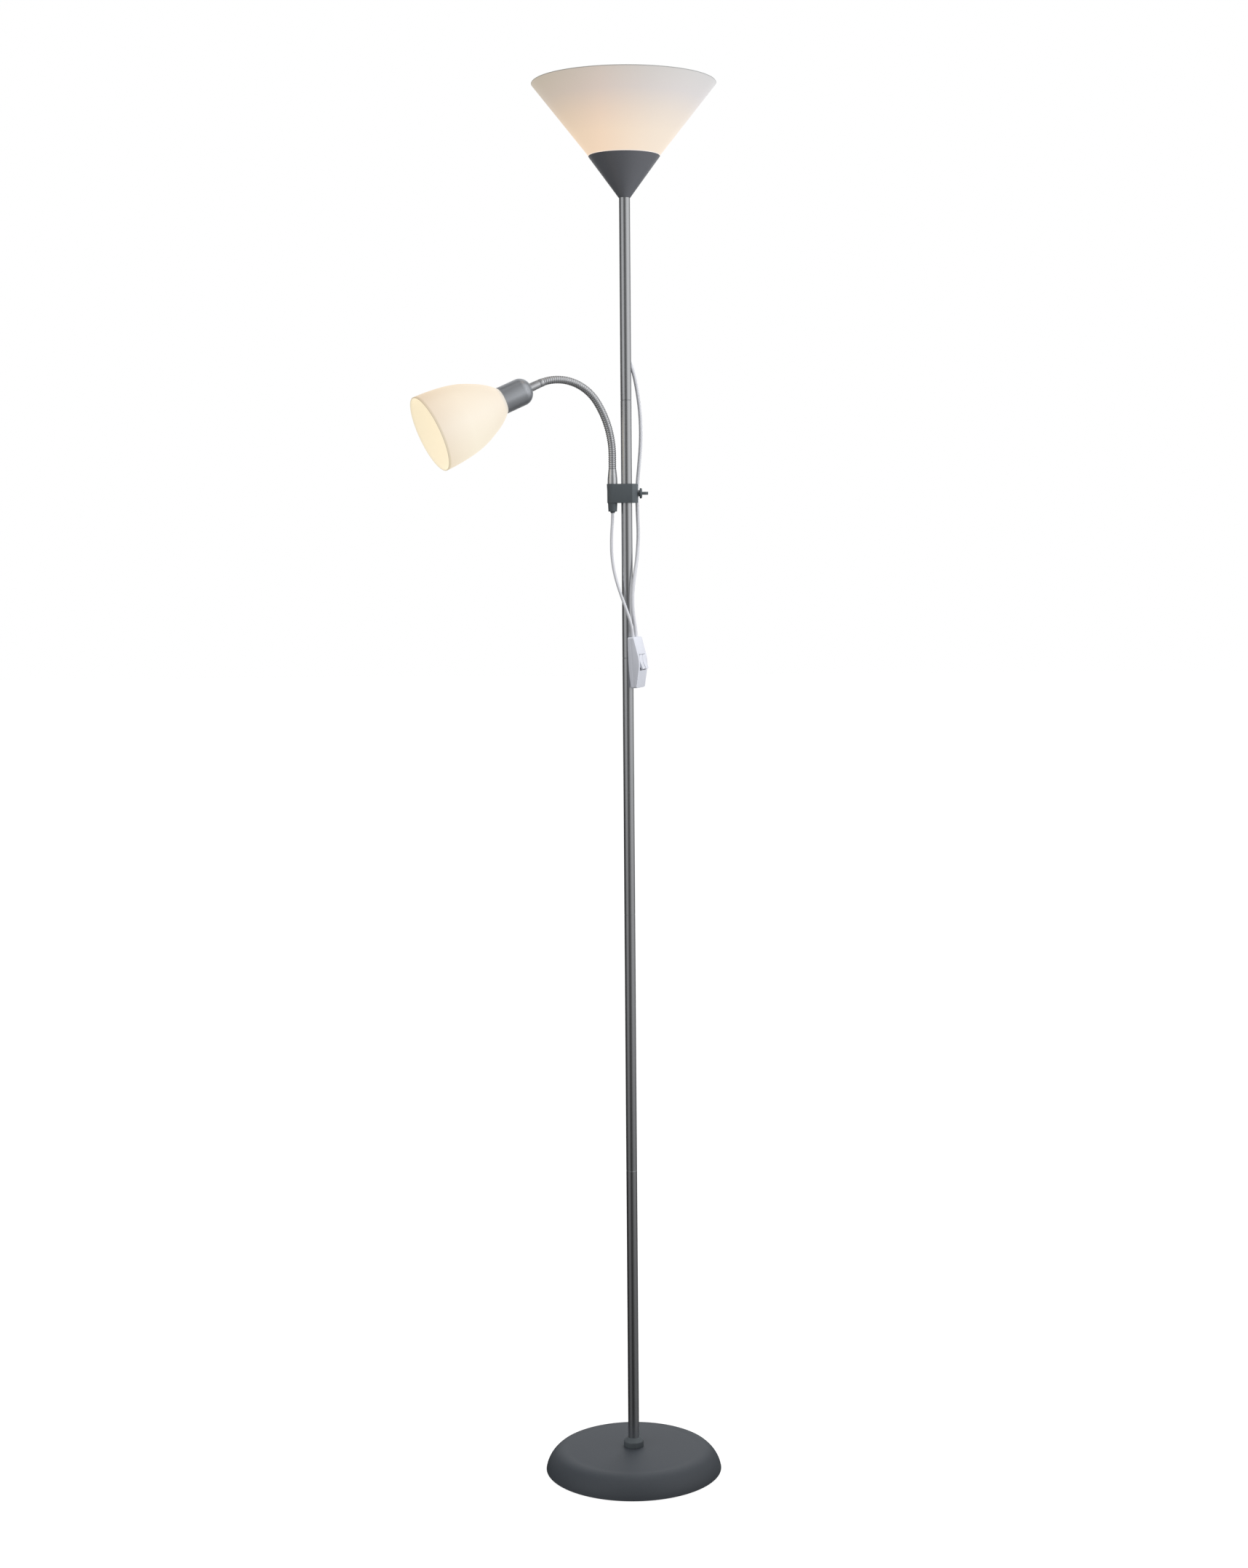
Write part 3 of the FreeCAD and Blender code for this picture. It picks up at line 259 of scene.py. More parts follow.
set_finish(bowl, "opal")
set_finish(cup, "grey_plastic")

# %% [markdown]
# ## The base cover
# A steel disc is pressed into a low dome: almost flat on top, with a rounded shoulder and a side that
# swells before it meets the floor. The outline is the outside, the rim and then the inside, so that the
# sheet has its real thickness where it is looked at from below. Three arcs make the outside: one for the
# side, one for the top and a short one that rounds the corner between them.

# %% Base cover
rim, shoulder, crown = (112.7, 0.8), (95.0, 24.8), (24.0, 28.5)
side_rise, top_rise = 3.5, 0.95
corner_out, corner_up = 0.75, 1.05
side = arc(rim, bulge(rim, shoulder, side_rise), shoulder, 18)
top = arc(shoulder, bulge(shoulder, crown, top_rise), crown, 14)
corner_start, corner_end = side[-4], top[1]
corner = arc(corner_start, ((corner_start[0] + corner_end[0]) / 2 + corner_out,
                            (corner_start[1] + corner_end[1]) / 2 + corner_up), corner_end, 8)
outside = [rim] + side[:-3] + corner + top[2:] + [(5.2, 28.5)]
inside = [(5.2, 27.3), (24.0, 27.3), (94.3, 23.6), (103.0, 17.0), (109.6, 8.0), (111.4, 0.8), rim]
base_cover = turned("base_cover", outside + inside, steps=160, smooth=40)
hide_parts("base_shell")
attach(base_cover, "stand")
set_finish(base_cover, "charcoal_paint")

# %% [markdown]
# ## The goose neck
# A goose neck is a steel strip wound on itself, so it shows as a row of narrow round ribs. The ribs are all
# alike, so one rib is modelled, repeated with an Array modifier and laid along the neck's line with a Curve
# modifier. The line is straight at the foot, then bends gently, and then more sharply. Each length between
# two of the neck's hinges is a piece of its own, because it rides on its own body. Next to the reading light
# a plain sleeve covers the last two ribs, and a thin cable runs inside.

# %% The neck's line
arm_turn = math.radians(20.6)
ARM = Vector((-math.cos(arm_turn), -math.sin(arm_turn), 0))
UP = Vector((0, 0, 1))
ACROSS = Vector((math.sin(arm_turn), -math.cos(arm_turn), 0))
foot = Vector((-0.018, 0, 1.2877))
straight = 0.0169                                                     # metres
bends = [(0.125, math.radians(33.0)), (0.062, math.radians(81.4))]    # radius and angle
links = 8
neck_length = straight + sum(radius * angle for radius, angle in bends)
link_length = neck_length / links

knots = [(foot, UP), (foot + UP * straight, UP)]
lean = 0.0
for radius, angle in bends:
    place = knots[-1][0]
    out = ARM * math.cos(lean) - UP * math.sin(lean)
    lean += angle
    centre = place + out * radius
    new_out = ARM * math.cos(lean) - UP * math.sin(lean)
    knots.append((centre - new_out * radius, ARM * math.sin(lean) + UP * math.cos(lean)))
head_place, head_way = knots[-1]

deselect_all()
bpy.ops.curve.primitive_bezier_curve_add()
neck_line = bpy.context.object
neck_line.name = "neck_line"
neck_line.data.resolution_u = 64
neck_line.data.twist_mode = "MINIMUM"
line = neck_line.data.splines[0]
line.bezier_points.add(len(knots) - 2)
reaches = [straight / 3] + [4 / 3 * math.tan(angle / 4) * radius for radius, angle in bends]
for i, (place, along) in enumerate(knots):
    point = line.bezier_points[i]
    point.handle_left_type = point.handle_right_type = "FREE"
    point.co = place
    point.handle_left = place - along * reaches[max(i - 1, 0)]
    point.handle_right = place + along * reaches[min(i, len(reaches) - 1)]
print("neck:", round(neck_length * 1000, 1), "mm, line", round(line.calc_length() * 1000, 1), "mm")

# %% Sizes of the ribs and of what is under them
ribs_per_link = 8
sleeved_ribs = 2
rib_pitch = link_length / ribs_per_link
rib_share, rib_gap, rib_round = 0.86, 0.07, 0.22         # width, half of a groove and rounding, in pitches
rib_radius, core_radius = 0.00495, 0.0044                # metres
sleeve_radius, sleeve_round, sleeve_end = 0.0053, 0.0001, 0.0001
cable_radius, cable_share, cable_start = 0.0022, 0.96, 0.0004
cable_cuts = 8                                           # short lengths, so that the cable can bend
print("ribs:", links * ribs_per_link - sleeved_ribs, "at", round(rib_pitch * 1000, 2), "mm")

# %% Helpers for the neck
sharp_edge = math.radians(60)


def cylinder(name, radius, depth, height, vertices=40):
    """A closed rod on the Z axis whose bottom is at that height."""
    deselect_all()
    bpy.ops.mesh.primitive_cylinder_add(vertices=vertices, radius=radius, depth=depth,
                                        location=(0, 0, height + depth / 2))
    piece = bpy.context.object
    piece.name = piece.data.name = name
    bpy.ops.object.transform_apply(location=True)
    return piece


def laid_on_neck(piece):
    """Bend a straight piece along the neck's line. Height in the piece is distance along the line."""
    pick(piece)
    bend = piece.modifiers.new("bend", "CURVE")
    bend.object = neck_line
    bend.deform_axis = "POS_Z"
    bpy.ops.object.modifier_apply(modifier=bend.name)
    bpy.ops.object.shade_smooth_by_angle(angle=math.radians(45))
    return piece


def round_ends(offset, segments):
    """Bevel the sharp edges of the rod that is being made."""
    bpy.ops.object.mode_set(mode="EDIT")
    bpy.ops.mesh.select_all(action="SELECT")
    bpy.ops.mesh.edges_select_sharp(sharpness=sharp_edge)
    bpy.ops.mesh.bevel(offset=offset, segments=segments)
    bpy.ops.object.mode_set(mode="OBJECT")


def cut_across(places):
    """Cut the rod that is being made at these heights, so that it can bend there."""
    bpy.ops.object.mode_set(mode="EDIT")
    for height in places:
        bpy.ops.mesh.select_all(action="SELECT")
        bpy.ops.mesh.bisect(plane_co=(0, 0, height), plane_no=(0, 0, 1))
    bpy.ops.object.mode_set(mode="OBJECT")


# %% Ribs and cable
def neck_link(number):
    """Ribs, and the core that shows in the grooves between them. The last link has the sleeve."""
    start = number * link_length
    sleeved = number == links - 1
    rib = cylinder(f"neck_ribs_{number + 1}", rib_radius, rib_pitch * rib_share, start + rib_pitch * rib_gap)
    round_ends(rib_pitch * rib_round, 3)
    repeat = rib.modifiers.new("repeat", "ARRAY")
    repeat.count = ribs_per_link - sleeved_ribs if sleeved else ribs_per_link
    repeat.use_relative_offset = False
    repeat.use_constant_offset = True
    repeat.constant_offset_displace = (0, 0, rib_pitch)
    bpy.ops.object.modifier_apply(modifier=repeat.name)
    core = cylinder("core", core_radius, link_length, start)
    cut_across(start + cut * rib_pitch for cut in range(1, ribs_per_link))
    if sleeved:
        sleeve_length = (sleeved_ribs - 0.1) * rib_pitch
        cylinder("sleeve", sleeve_radius, sleeve_length, start + link_length - sleeve_length - sleeve_end)
        round_ends(sleeve_round, 2)
        core.select_set(True)
    rib.select_set(True)
    bpy.context.view_layer.objects.active = rib
    bpy.ops.object.join()
    return laid_on_neck(rib)


for number in range(links):
    link = neck_link(number)
    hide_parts(f"neck_link_{number + 1}")
    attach(link, f"neck_{number + 1}")
    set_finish(link, "silver_neck")
    cable = cylinder(f"neck_cable_{number + 1}", cable_radius, link_length * cable_share,
                     number * link_length + cable_start, 16)
    cut_across((number + cut / cable_cuts) * link_length for cut in range(1, cable_cuts))
    laid_on_neck(cable)
    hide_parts("neck_cable")
    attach(cable, f"neck_{number + 1}")
    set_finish(cable, "cord_pvc")
bpy.data.objects.remove(neck_line)
print("neck links:", links)

# %% [markdown]
# ## The reading light
# The head is on its own axis, which leaves the end of the neck and points down to the left. A matrix that
# puts Z along that axis places all its turned pieces. A plated ferrule joins the neck to a drawn metal cover
# with a domed end, and the bell-shaped shade comes out of the cover with a small gap round its neck. The
# bell's outline is three arcs, and averaging each point with its neighbours takes the kinks out of it.

# %% Ferrule and cover
head = Matrix.Identity(4)
head.col[0].xyz, head.col[1].xyz, head.col[2].xyz = ACROSS, head_way.cross(ACROSS), head_way
head.translation = head_place

head_ferrule = turned("head_ferrule", [
    (2.6, -0.8), (3.6, -0.8), (3.6, 0.1), (5.2, 0.1), (5.3, 0.2), (5.45, 3.0), (5.7, 14.2), (4.0, 14.3),
    (4.0, 16.5), (2.6, 16.5), (2.6, -0.8)], head, 64)
cover_edge = bulge((6.9, 13.6), (17.5, 27.0), 2.75)
cover = turned("reading_cover_shell", [
    (4.1, 14.6), (4.1, 13.6), (6.9, 13.6), *arc((6.9, 13.6), cover_edge, (17.5, 27.0), 16), (17.5, 54.7),
    (17.2, 55.0), (16.5, 55.0), (16.5, 27.0), *arc((16.5, 27.0), (13.9, 18.5), (6.9, 14.6), 10), (4.1, 14.6)],
    head, smooth=40)

# %% Bell shade
neck_edge, waist, belly, mouth = (17.2, 55.3), (33.9, 80.4), (45.7, 112.5), (50.0, 158.1)
smoothing_passes = 6
shade_wall, shade_drop = 1.8, 0.45
shade_outside = [
    neck_edge, *arc(neck_edge, bulge(neck_edge, waist, 1.6), waist, 10),
    *arc(waist, bulge(waist, belly, 1.35), belly, 10), *arc(belly, bulge(belly, mouth, 1.0), mouth, 14)]
for _ in range(smoothing_passes):
    inner = [((a[0] + 2 * b[0] + c[0]) / 4, (a[1] + 2 * b[1] + c[1]) / 4)
             for a, b, c in zip(shade_outside, shade_outside[1:], shade_outside[2:])]
    shade_outside = [neck_edge] + inner + [mouth]
shade_inside = [(r - shade_wall, z + shade_drop) for r, z in reversed(shade_outside[2:-1])]
reading_shade = turned("bell_shade", [
    (13.0, 46.5), (16.3, 46.5), (16.3, 55.3), *shade_outside, *arc(mouth, (49.1, 158.7), (48.2, 158.1), 6),
    *shade_inside, (14.5, 56.0), (14.5, 48.3), (13.0, 48.3), (13.0, 46.5)], head, 128, smooth=40)
for piece, node, finish in ((head_ferrule, "neck_head_ferrule", "silver_neck"),
                            (cover, "reading_cover", "silver_paint"),
                            (reading_shade, "reading_shade", "opal")):
    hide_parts(node)
    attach(piece, "head")
    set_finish(piece, finish)

# %% Ferrule at the neck's foot
foot_ferrule = turned("foot_ferrule", [
    (2.6, 1250.2), (4.6, 1250.2), (4.6, 1268.8), (6.2, 1268.8), (6.4, 1269.0), (6.3, 1274.8),
    (5.1, 1287.3), (5.0, 1287.6), (3.6, 1287.6), (3.6, 1288.6), (2.6, 1288.6), (2.6, 1250.2)],
    Matrix.Translation((-0.018, 0, 0)), 64)
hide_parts("neck_foot_ferrule")
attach(foot_ferrule, "clamp")
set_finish(foot_ferrule, "silver_neck")

# %% [markdown]
# ## The pole
# The pole is five drawn tubes screwed end to end. Each has a tiny chamfer at its ends, and two chamfers that
# meet make the thin dark line at each joint. The lamp's cord leaves the top tube through a slanting hole,
# which a Boolean modifier cuts with a rod that follows the cord.

# %% Pole
joints = [30.0, 385.7, 715.7, 1045.7, 1375.7, 1640.0]
bore, end_radius, pole_radius, chamfer = 6.1, 6.6, 7.0, 0.4
drilled_section = 5
hole_radius, drill_length = 0.00265, 0.034               # metres
for number, (low, high) in enumerate(zip(joints, joints[1:]), 1):
    section = turned(f"pole_tube_{number}", [
        (bore, low), (end_radius, low), (pole_radius, low + chamfer), (pole_radius, high - chamfer),
        (end_radius, high), (bore, high), (bore, low)], steps=64)
    if number == drilled_section:
        hole_start, hole_end = Vector(upper_cord_route[0]) * MM, Vector(upper_cord_route[1]) * MM
        drill = cylinder("drill", hole_radius, drill_length, 0.0, 48)
        drill.matrix_world = (Matrix.Translation(hole_start)
                              @ (hole_end - hole_start).to_track_quat("Z", "Y").to_matrix().to_4x4())
        pick(section)
        cut = section.modifiers.new("cord hole", "BOOLEAN")
        cut.object = drill
        cut.solver = "EXACT"
        bpy.ops.object.modifier_apply(modifier=cut.name)
        bpy.ops.object.shade_smooth_by_angle(angle=math.radians(35))
        bpy.data.objects.remove(drill)
    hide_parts(f"pole_section_{number}")
    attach(section, "stand")
    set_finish(section, "silver_paint")

# %% [markdown]
# ## Moulded pieces
# The clamp, the knob, the switch and the collar are moulded plastic. Their CAD forms are right but their
# edges are knife sharp and their faces are loose triangles, and a moulding always has softened edges that
# catch a thin line of light. So each is copied, its triangles are merged back into whole faces, and a Bevel
# modifier rounds the edges that are sharper than thirty degrees.

# %% Soften the mouldings
triangle_weld = 2e-6                     # metres
flat_angle, edge_angle = math.radians(0.5), math.radians(30)


def softened(node, name, width):
    """A copy of a CAD node with whole faces and rounded edges, which stands for it. Width is in mm."""
    piece = nodes[node].copy()
    piece.data = nodes[node].data.copy()
    for key in [k for k in piece.keys() if k.startswith("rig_")]:
        del piece[key]
    piece.parent = None
    piece.name = piece.data.name = name
    bpy.context.scene.collection.objects.link(piece)
    pick(piece)
    bpy.ops.object.mode_set(mode="EDIT")
    bpy.ops.mesh.select_all(action="SELECT")
    bpy.ops.mesh.remove_doubles(threshold=triangle_weld)
    bpy.ops.mesh.dissolve_limited(angle_limit=flat_angle)
    bpy.ops.object.mode_set(mode="OBJECT")
    edge = piece.modifiers.new("edge", "BEVEL")
    edge.width = width * MM
    edge.segments = 3
    edge.limit_method = "ANGLE"
    edge.angle_limit = edge_angle
    bpy.ops.object.modifier_apply(modifier=edge.name)
    bpy.ops.object.shade_smooth_by_angle(angle=edge_angle)
    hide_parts(node)
    return piece


for node, name, width, body, slot in (
        ("clamp_block", "clamp_moulding", 0.35, "clamp", "charcoal_plastic"),
        ("cord_bush", "cord_relief", 0.2, "clamp", "charcoal_plastic"),
        ("thumb_screw_knob", "screw_knob", 0.35, "thumb_screw", "charcoal_plastic"),
        ("base_collar", "pole_collar", 0.4, "stand", "charcoal_plastic"),
        ("switch_front", "switch_face", 0.45, "slider", "switch_plastic"),
        ("switch_back", "switch_rear", 0.5, "slider", "switch_plastic"),
        ("rocker_upper_light", "rocker_far", 0.6, "rocker_upper", "switch_plastic"),
        ("rocker_reading_light", "rocker_near", 0.6, "rocker_reading", "switch_plastic")):
    piece = softened(node, name, width)
    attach(piece, body)
    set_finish(piece, slot)
    print(name, len(piece.data.polygons), "faces")

# %% [markdown]
# ## Skirts of the rockers
# A rocker has a curved skirt at each end, which turns about the axle inside the housing. It closes the gap as
# the rocker tips, to hide the dark inside of the switch. A small rectangle is spun through the skirt's angle
# about the axle, put at one end of its rocker and joined to it.

# %% Skirts
skirt_radius, skirt_wall, skirt_width = 9.0, 0.7, 8.0         # millimetres
skirt_start, skirt_sweep = math.radians(83.8), math.radians(41.0)
switch_pose = Matrix.Rotation(math.radians(-3.3), 4, "Y") @ Matrix.Rotation(math.radians(245.0), 4, "Z")
axle_middle = Vector((0.018007, -0.018201, 1.041317))
rocker_turn = math.radians(12.0)
rocker_offset = 0.0048                                        # metres from the switch's middle

for name, side in (("rocker_far", -1), ("rocker_near", 1)):
    for end in (-1, 1):
        deselect_all()
        bpy.ops.mesh.primitive_plane_add(size=MM)
        skirt = bpy.context.object
        bpy.ops.object.mode_set(mode="EDIT")
        bpy.ops.mesh.select_all(action="SELECT")
        bpy.ops.transform.resize(value=(skirt_width, skirt_wall, 1.0))
        bpy.ops.transform.translate(value=(0.0, skirt_radius * MM, 0.0))
        bpy.ops.mesh.spin(steps=10, angle=-skirt_sweep * end, center=(0, 0, 0), axis=(1, 0, 0))
        bpy.ops.mesh.select_all(action="SELECT")
        bpy.ops.mesh.remove_doubles(threshold=SAME_PLACE)
        bpy.ops.mesh.normals_make_consistent(inside=False)
        bpy.ops.object.mode_set(mode="OBJECT")
        skirt.matrix_world = (Matrix.Translation(axle_middle) @ switch_pose
                              @ Matrix.Translation((side * rocker_offset, 0, 0))
                              @ Matrix.Rotation(skirt_start * end + rocker_turn, 4, "X"))
        bpy.ops.object.transform_apply(location=True, rotation=True, scale=True)
        bpy.ops.object.shade_smooth_by_angle(angle=math.radians(35))
        bpy.data.objects[name].select_set(True)
        bpy.context.view_layer.objects.active = bpy.data.objects[name]
        bpy.ops.object.join()

# %% [markdown]
# ## What hangs on the cords
# The switch is a separate piece that hangs where the two cords meet.

# %% [markdown]
# ## Finishes
# Each finish is one material made of nodes. Object coordinates keep a pattern fixed to its piece. The silver
# paint and the plating get a very fine flake in their colour and roughness, and the powder coat and the
# moulded plastics a fine grain that also shows as a slight bump.

# %% A helper for finishes
rough_spread = 0.08                      # how much the roughness varies, as a share


def finish(name, colour, roughness, metallic=0.0, grain=900.0, spread=0.06, depth=0.02):
    """A Principled material whose colour and roughness vary a little with a fine noise.

    Grain is the noise's scale, spread how much the colour varies, and depth the strength of the bump."""
    material = bpy.data.materials.new(name)
    material.use_nodes = True
    tree = material.node_tree
    shader = tree.nodes["Principled BSDF"]
    shader.inputs["Metallic"].default_value = metallic
    place = tree.nodes.new("ShaderNodeTexCoord")
    noise = tree.nodes.new("ShaderNodeTexNoise")
    noise.inputs["Scale"].default_value = grain
    noise.inputs["Detail"].default_value = 3.0
    tree.links.new(place.outputs["Object"], noise.inputs["Vector"])
    ramp = tree.nodes.new("ShaderNodeValToRGB")
    ramp.color_ramp.elements[0].position = 0.3
    ramp.color_ramp.elements[1].position = 0.7
    ramp.color_ramp.elements[0].color = [*(c * (1 - spread) for c in colour), 1]
    ramp.color_ramp.elements[1].color = [*(min(1, c * (1 + spread)) for c in colour), 1]
    tree.links.new(noise.outputs["Fac"], ramp.inputs["Fac"])
    tree.links.new(ramp.outputs["Color"], shader.inputs["Base Color"])
    rough = tree.nodes.new("ShaderNodeMapRange")
    rough.inputs["To Min"].default_value = roughness * (1 - rough_spread)
    rough.inputs["To Max"].default_value = roughness * (1 + rough_spread)
    tree.links.new(noise.outputs["Fac"], rough.inputs["Value"])
    tree.links.new(rough.outputs["Result"], shader.inputs["Roughness"])
    if depth:
        bump = tree.nodes.new("ShaderNodeBump")
        bump.inputs["Strength"].default_value = depth
        bump.inputs["Distance"].default_value = 0.0001
        tree.links.new(noise.outputs["Fac"], bump.inputs["Height"])
        tree.links.new(bump.outputs["Normal"], shader.inputs["Normal"])
    return material


# %% Finishes of the lamp's pieces
silver_paint = finish("silver paint", (0.52, 0.53, 0.545), 0.30, metallic=1.0, grain=2600, spread=0.04,
                      depth=0.0)
satin_cover = finish("satin cover paint", (0.42, 0.44, 0.47), 0.34, metallic=0.75, grain=2600, spread=0.04,
                     depth=0.0)
plated_steel = finish("plated steel", (0.66, 0.67, 0.69), 0.28, metallic=0.85, grain=1500, spread=0.03,
                      depth=0.0)
charcoal_paint = finish("charcoal powder coat", (0.056, 0.065, 0.077), 0.55, grain=1600, spread=0.10,
                        depth=0.06)
charcoal_plastic = finish("charcoal plastic", (0.094, 0.110, 0.121), 0.50, grain=1800, depth=0.05)
cup_plastic = finish("grey cup plastic", (0.158, 0.164, 0.183), 0.40, grain=1500, depth=0.04)
pale_plastic = finish("pale switch plastic", (0.71, 0.73, 0.80), 0.38, grain=1400, spread=0.02, depth=0.03)
pale_pvc = finish("pale cord jacket", (0.68, 0.69, 0.73), 0.42, grain=700, spread=0.04, depth=0.03)
white_plastic = finish("white holder plastic", (0.75, 0.74, 0.72), 0.35, grain=900, spread=0.02)
black_rubber = finish("black rubber", (0.02, 0.02, 0.021), 0.75, grain=800, depth=0.08)
cast_iron = finish("cast iron", (0.07, 0.07, 0.07), 0.80, metallic=0.6, grain=300, spread=0.3, depth=0.3)
zinc = finish("zinc plate", (0.55, 0.54, 0.50), 0.35, metallic=1.0, grain=500, spread=0.10)
brass = finish("brass", (0.62, 0.46, 0.20), 0.30, metallic=1.0, grain=500)
bright_cap = finish("lamp cap metal", (0.70, 0.69, 0.66), 0.25, metallic=1.0, grain=600)
print("finishes so far:", len(bpy.data.materials))

# %% [markdown]
# ## Lit opal
# Opal glass scatters the bulb's light, so the whole wall shines. On the bowl the glow is warm and strong
# just above the cup, where the bulb is near, and cool and weaker at the rim. On the bell shade it is almost
# even. The glow is an emission whose colour comes from one gradient along the shade's own axis, multiplied
# by a second one from side to side. That second one is painted light and shade: the bowl is lighter and
# cooler on its right, where the right soft box falls, and the bell is darker on its upper side. A dark band
# at the bowl's very rim is a painted dark reflection on its rounded edge. The inner wall, which a face
# attribute marks, has a glow of its own.

# %% Ramps, and places along an axis
def ramp_of(tree, stops):
    """A colour ramp node through the stops."""
    ramp = tree.nodes.new("ShaderNodeValToRGB")
    ramp.color_ramp.elements[0].position = stops[0][0]
    ramp.color_ramp.elements[0].color = (*stops[0][1], 1)
    ramp.color_ramp.elements[1].position = stops[-1][0]
    ramp.color_ramp.elements[1].color = (*stops[-1][1], 1)
    for at, colour in stops[1:-1]:
        ramp.color_ramp.elements.new(at).color = (*colour, 1)
    return ramp


def share_along(tree, place, origin, axis, length):
    """Nodes that give how far along an axis a place is, as a share of a length."""
    offset = tree.nodes.new("ShaderNodeVectorMath")
    offset.operation = "SUBTRACT"
    offset.inputs[1].default_value = origin
    along = tree.nodes.new("ShaderNodeVectorMath")
    along.operation = "DOT_PRODUCT"
    along.inputs[1].default_value = axis.normalized() / length
    tree.links.new(place.outputs["Object"], offset.inputs[0])
    tree.links.new(offset.outputs[0], along.inputs[0])
    return along.outputs["Value"]


# %% An opal finish
opal_grey, opal_roughness = 0.26, 0.45   # what the unlit glass adds to its glow


def opal(name, outside, painted_side_light, inside, origin, along, length, sideways, half_width):
    """An opal material. Its glow runs through the outside stops along one axis, and is multiplied by the side
    stops from one side to the other, which paint light and shade. The inner wall has the inside colour."""
    material = bpy.data.materials.new(name)
    material.use_nodes = True
    tree = material.node_tree
    shader = tree.nodes["Principled BSDF"]
    shader.inputs["Base Color"].default_value = (opal_grey, opal_grey, opal_grey, 1)
    shader.inputs["Roughness"].default_value = opal_roughness
    shader.inputs["Emission Strength"].default_value = 1.0
    place = tree.nodes.new("ShaderNodeTexCoord")
    glow = ramp_of(tree, outside)
    tree.links.new(share_along(tree, place, origin, along, length), glow.inputs["Fac"])
    # painted light and shade: this ramp makes one side of the shade lighter and the other darker
    side = ramp_of(tree, painted_side_light)
    near_side = origin - sideways * half_width
    tree.links.new(share_along(tree, place, near_side, sideways, 2 * half_width), side.inputs["Fac"])
    tint = tree.nodes.new("ShaderNodeMix")
    tint.data_type = "RGBA"
    tint.blend_type = "MULTIPLY"
    tint.inputs["Factor"].default_value = 1.0
    tree.links.new(glow.outputs["Color"], tint.inputs["A"])
    tree.links.new(side.outputs["Color"], tint.inputs["B"])
    inner = tree.nodes.new("ShaderNodeAttribute")
    inner.attribute_name = "inner_wall"
    wall = tree.nodes.new("ShaderNodeMix")
    wall.data_type = "RGBA"
    wall.inputs["B"].default_value = (*inside, 1)
    tree.links.new(inner.outputs["Fac"], wall.inputs["Factor"])
    tree.links.new(tint.outputs["Result"], wall.inputs["A"])
    tree.links.new(wall.outputs["Result"], shader.inputs["Emission Color"])
    return material


# %% The opal of both shades
bowl_opal = opal(
    "bowl opal",
    outside=[(0.0, (0.86, 0.80, 0.76)), (0.012, (0.77, 0.61, 0.46)), (0.25, (0.74, 0.59, 0.45)),
             (0.5, (0.65, 0.53, 0.43)), (0.75, (0.53, 0.46, 0.42)), (0.985, (0.48, 0.43, 0.39)),
             # the last two stops paint a dark line at the rim: a painted dark reflection on its rounded edge
             (0.990, (0.10, 0.10, 0.09)), (1.0, (0.10, 0.10, 0.09))],
    # painted light: lighter and cooler on the right, where the right soft box falls, darker and warmer on the
    # left
    painted_side_light=[(0.0, (0.88, 0.84, 0.71)), (0.38, (1.05, 0.99, 0.94)), (0.5, (1.02, 1.01, 1.00)),
            (0.64, (0.98, 1.02, 1.06)), (1.0, (1.01, 1.11, 1.23))],
    inside=(0.48, 0.41, 0.33),
    origin=Vector((0, 0, 1.687)), along=UP, length=0.093, sideways=Vector((1, 0, 0)), half_width=0.118)
shade_up = (UP - head_way * UP.dot(head_way)).normalized()
bell_opal = opal(
    "bell opal",
    outside=[(0.0, (0.50, 0.47, 0.43)), (0.06, (0.66, 0.57, 0.45)), (0.3, (0.68, 0.60, 0.48)),
             (0.6, (0.71, 0.63, 0.51)), (0.8, (0.68, 0.59, 0.47)), (0.972, (0.64, 0.54, 0.42)),
             (0.985, (0.55, 0.46, 0.32)), (1.0, (0.52, 0.44, 0.31))],
    # painted shade: darker and warmer on the shade's upper side, lighter on its lower side
    painted_side_light=[(0.0, (1.12, 1.13, 1.08)), (0.5, (1.0, 0.99, 0.96)), (1.0, (0.85, 0.74, 0.57))],
    inside=(0.73, 0.63, 0.445),
    origin=head_place + head_way * 0.055, along=head_way, length=0.1031, sideways=shade_up, half_width=0.048)

# %% Lit glass of the bulbs
lit_glass = finish("lit bulb glass", (0.95, 0.93, 0.88), 0.4, spread=0.0)
lit_shader = lit_glass.node_tree.nodes["Principled BSDF"]
lit_shader.inputs["Emission Color"].default_value = (1.0, 0.90, 0.70, 1)
lit_shader.inputs["Emission Strength"].default_value = 2.0

# %% Inner walls
def mark_inner_wall(piece, axis, origin):
    """A face attribute that is 1 where a face looks at the axis."""
    inner = piece.data.attributes.new("inner_wall", "FLOAT", "FACE")
    for face in piece.data.polygons:
        out = face.center - origin
        out -= axis * out.dot(axis)
        inner.data[face.index].value = 1.0 if face.normal.dot(out) < 0 else 0.0
    print(piece.name, sum(face.value > 0 for face in inner.data), "faces on the inner wall")


mark_inner_wall(bowl, UP, Vector((0, 0, 0)))
mark_inner_wall(reading_shade, head_way, head_place)

# %% Give every piece its finish
finishes = {
    "silver_paint": silver_paint, "silver_neck": plated_steel, "charcoal_paint": charcoal_paint,
    "charcoal_plastic": charcoal_plastic, "grey_plastic": cup_plastic, "iron": cast_iron,
    "foot_rubber": black_rubber, "zinc_steel": zinc, "bulb_glass": lit_glass, "bulb_cap_metal": bright_cap,
    "holder_plastic": white_plastic, "contact_brass": brass, "liner_plastic": white_plastic,
    "cord_pvc": pale_pvc, "switch_plastic": pale_plastic, "opal": bowl_opal,
}
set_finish(upper_cord, "cord_pvc")
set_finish(reading_cord, "cord_pvc")
slot_of_node = {s["node"]: s["material_slot"] for s in frame["record"]["subparts"]}


def dress(piece, material):
    piece.data.materials.clear()
    piece.data.materials.append(material)


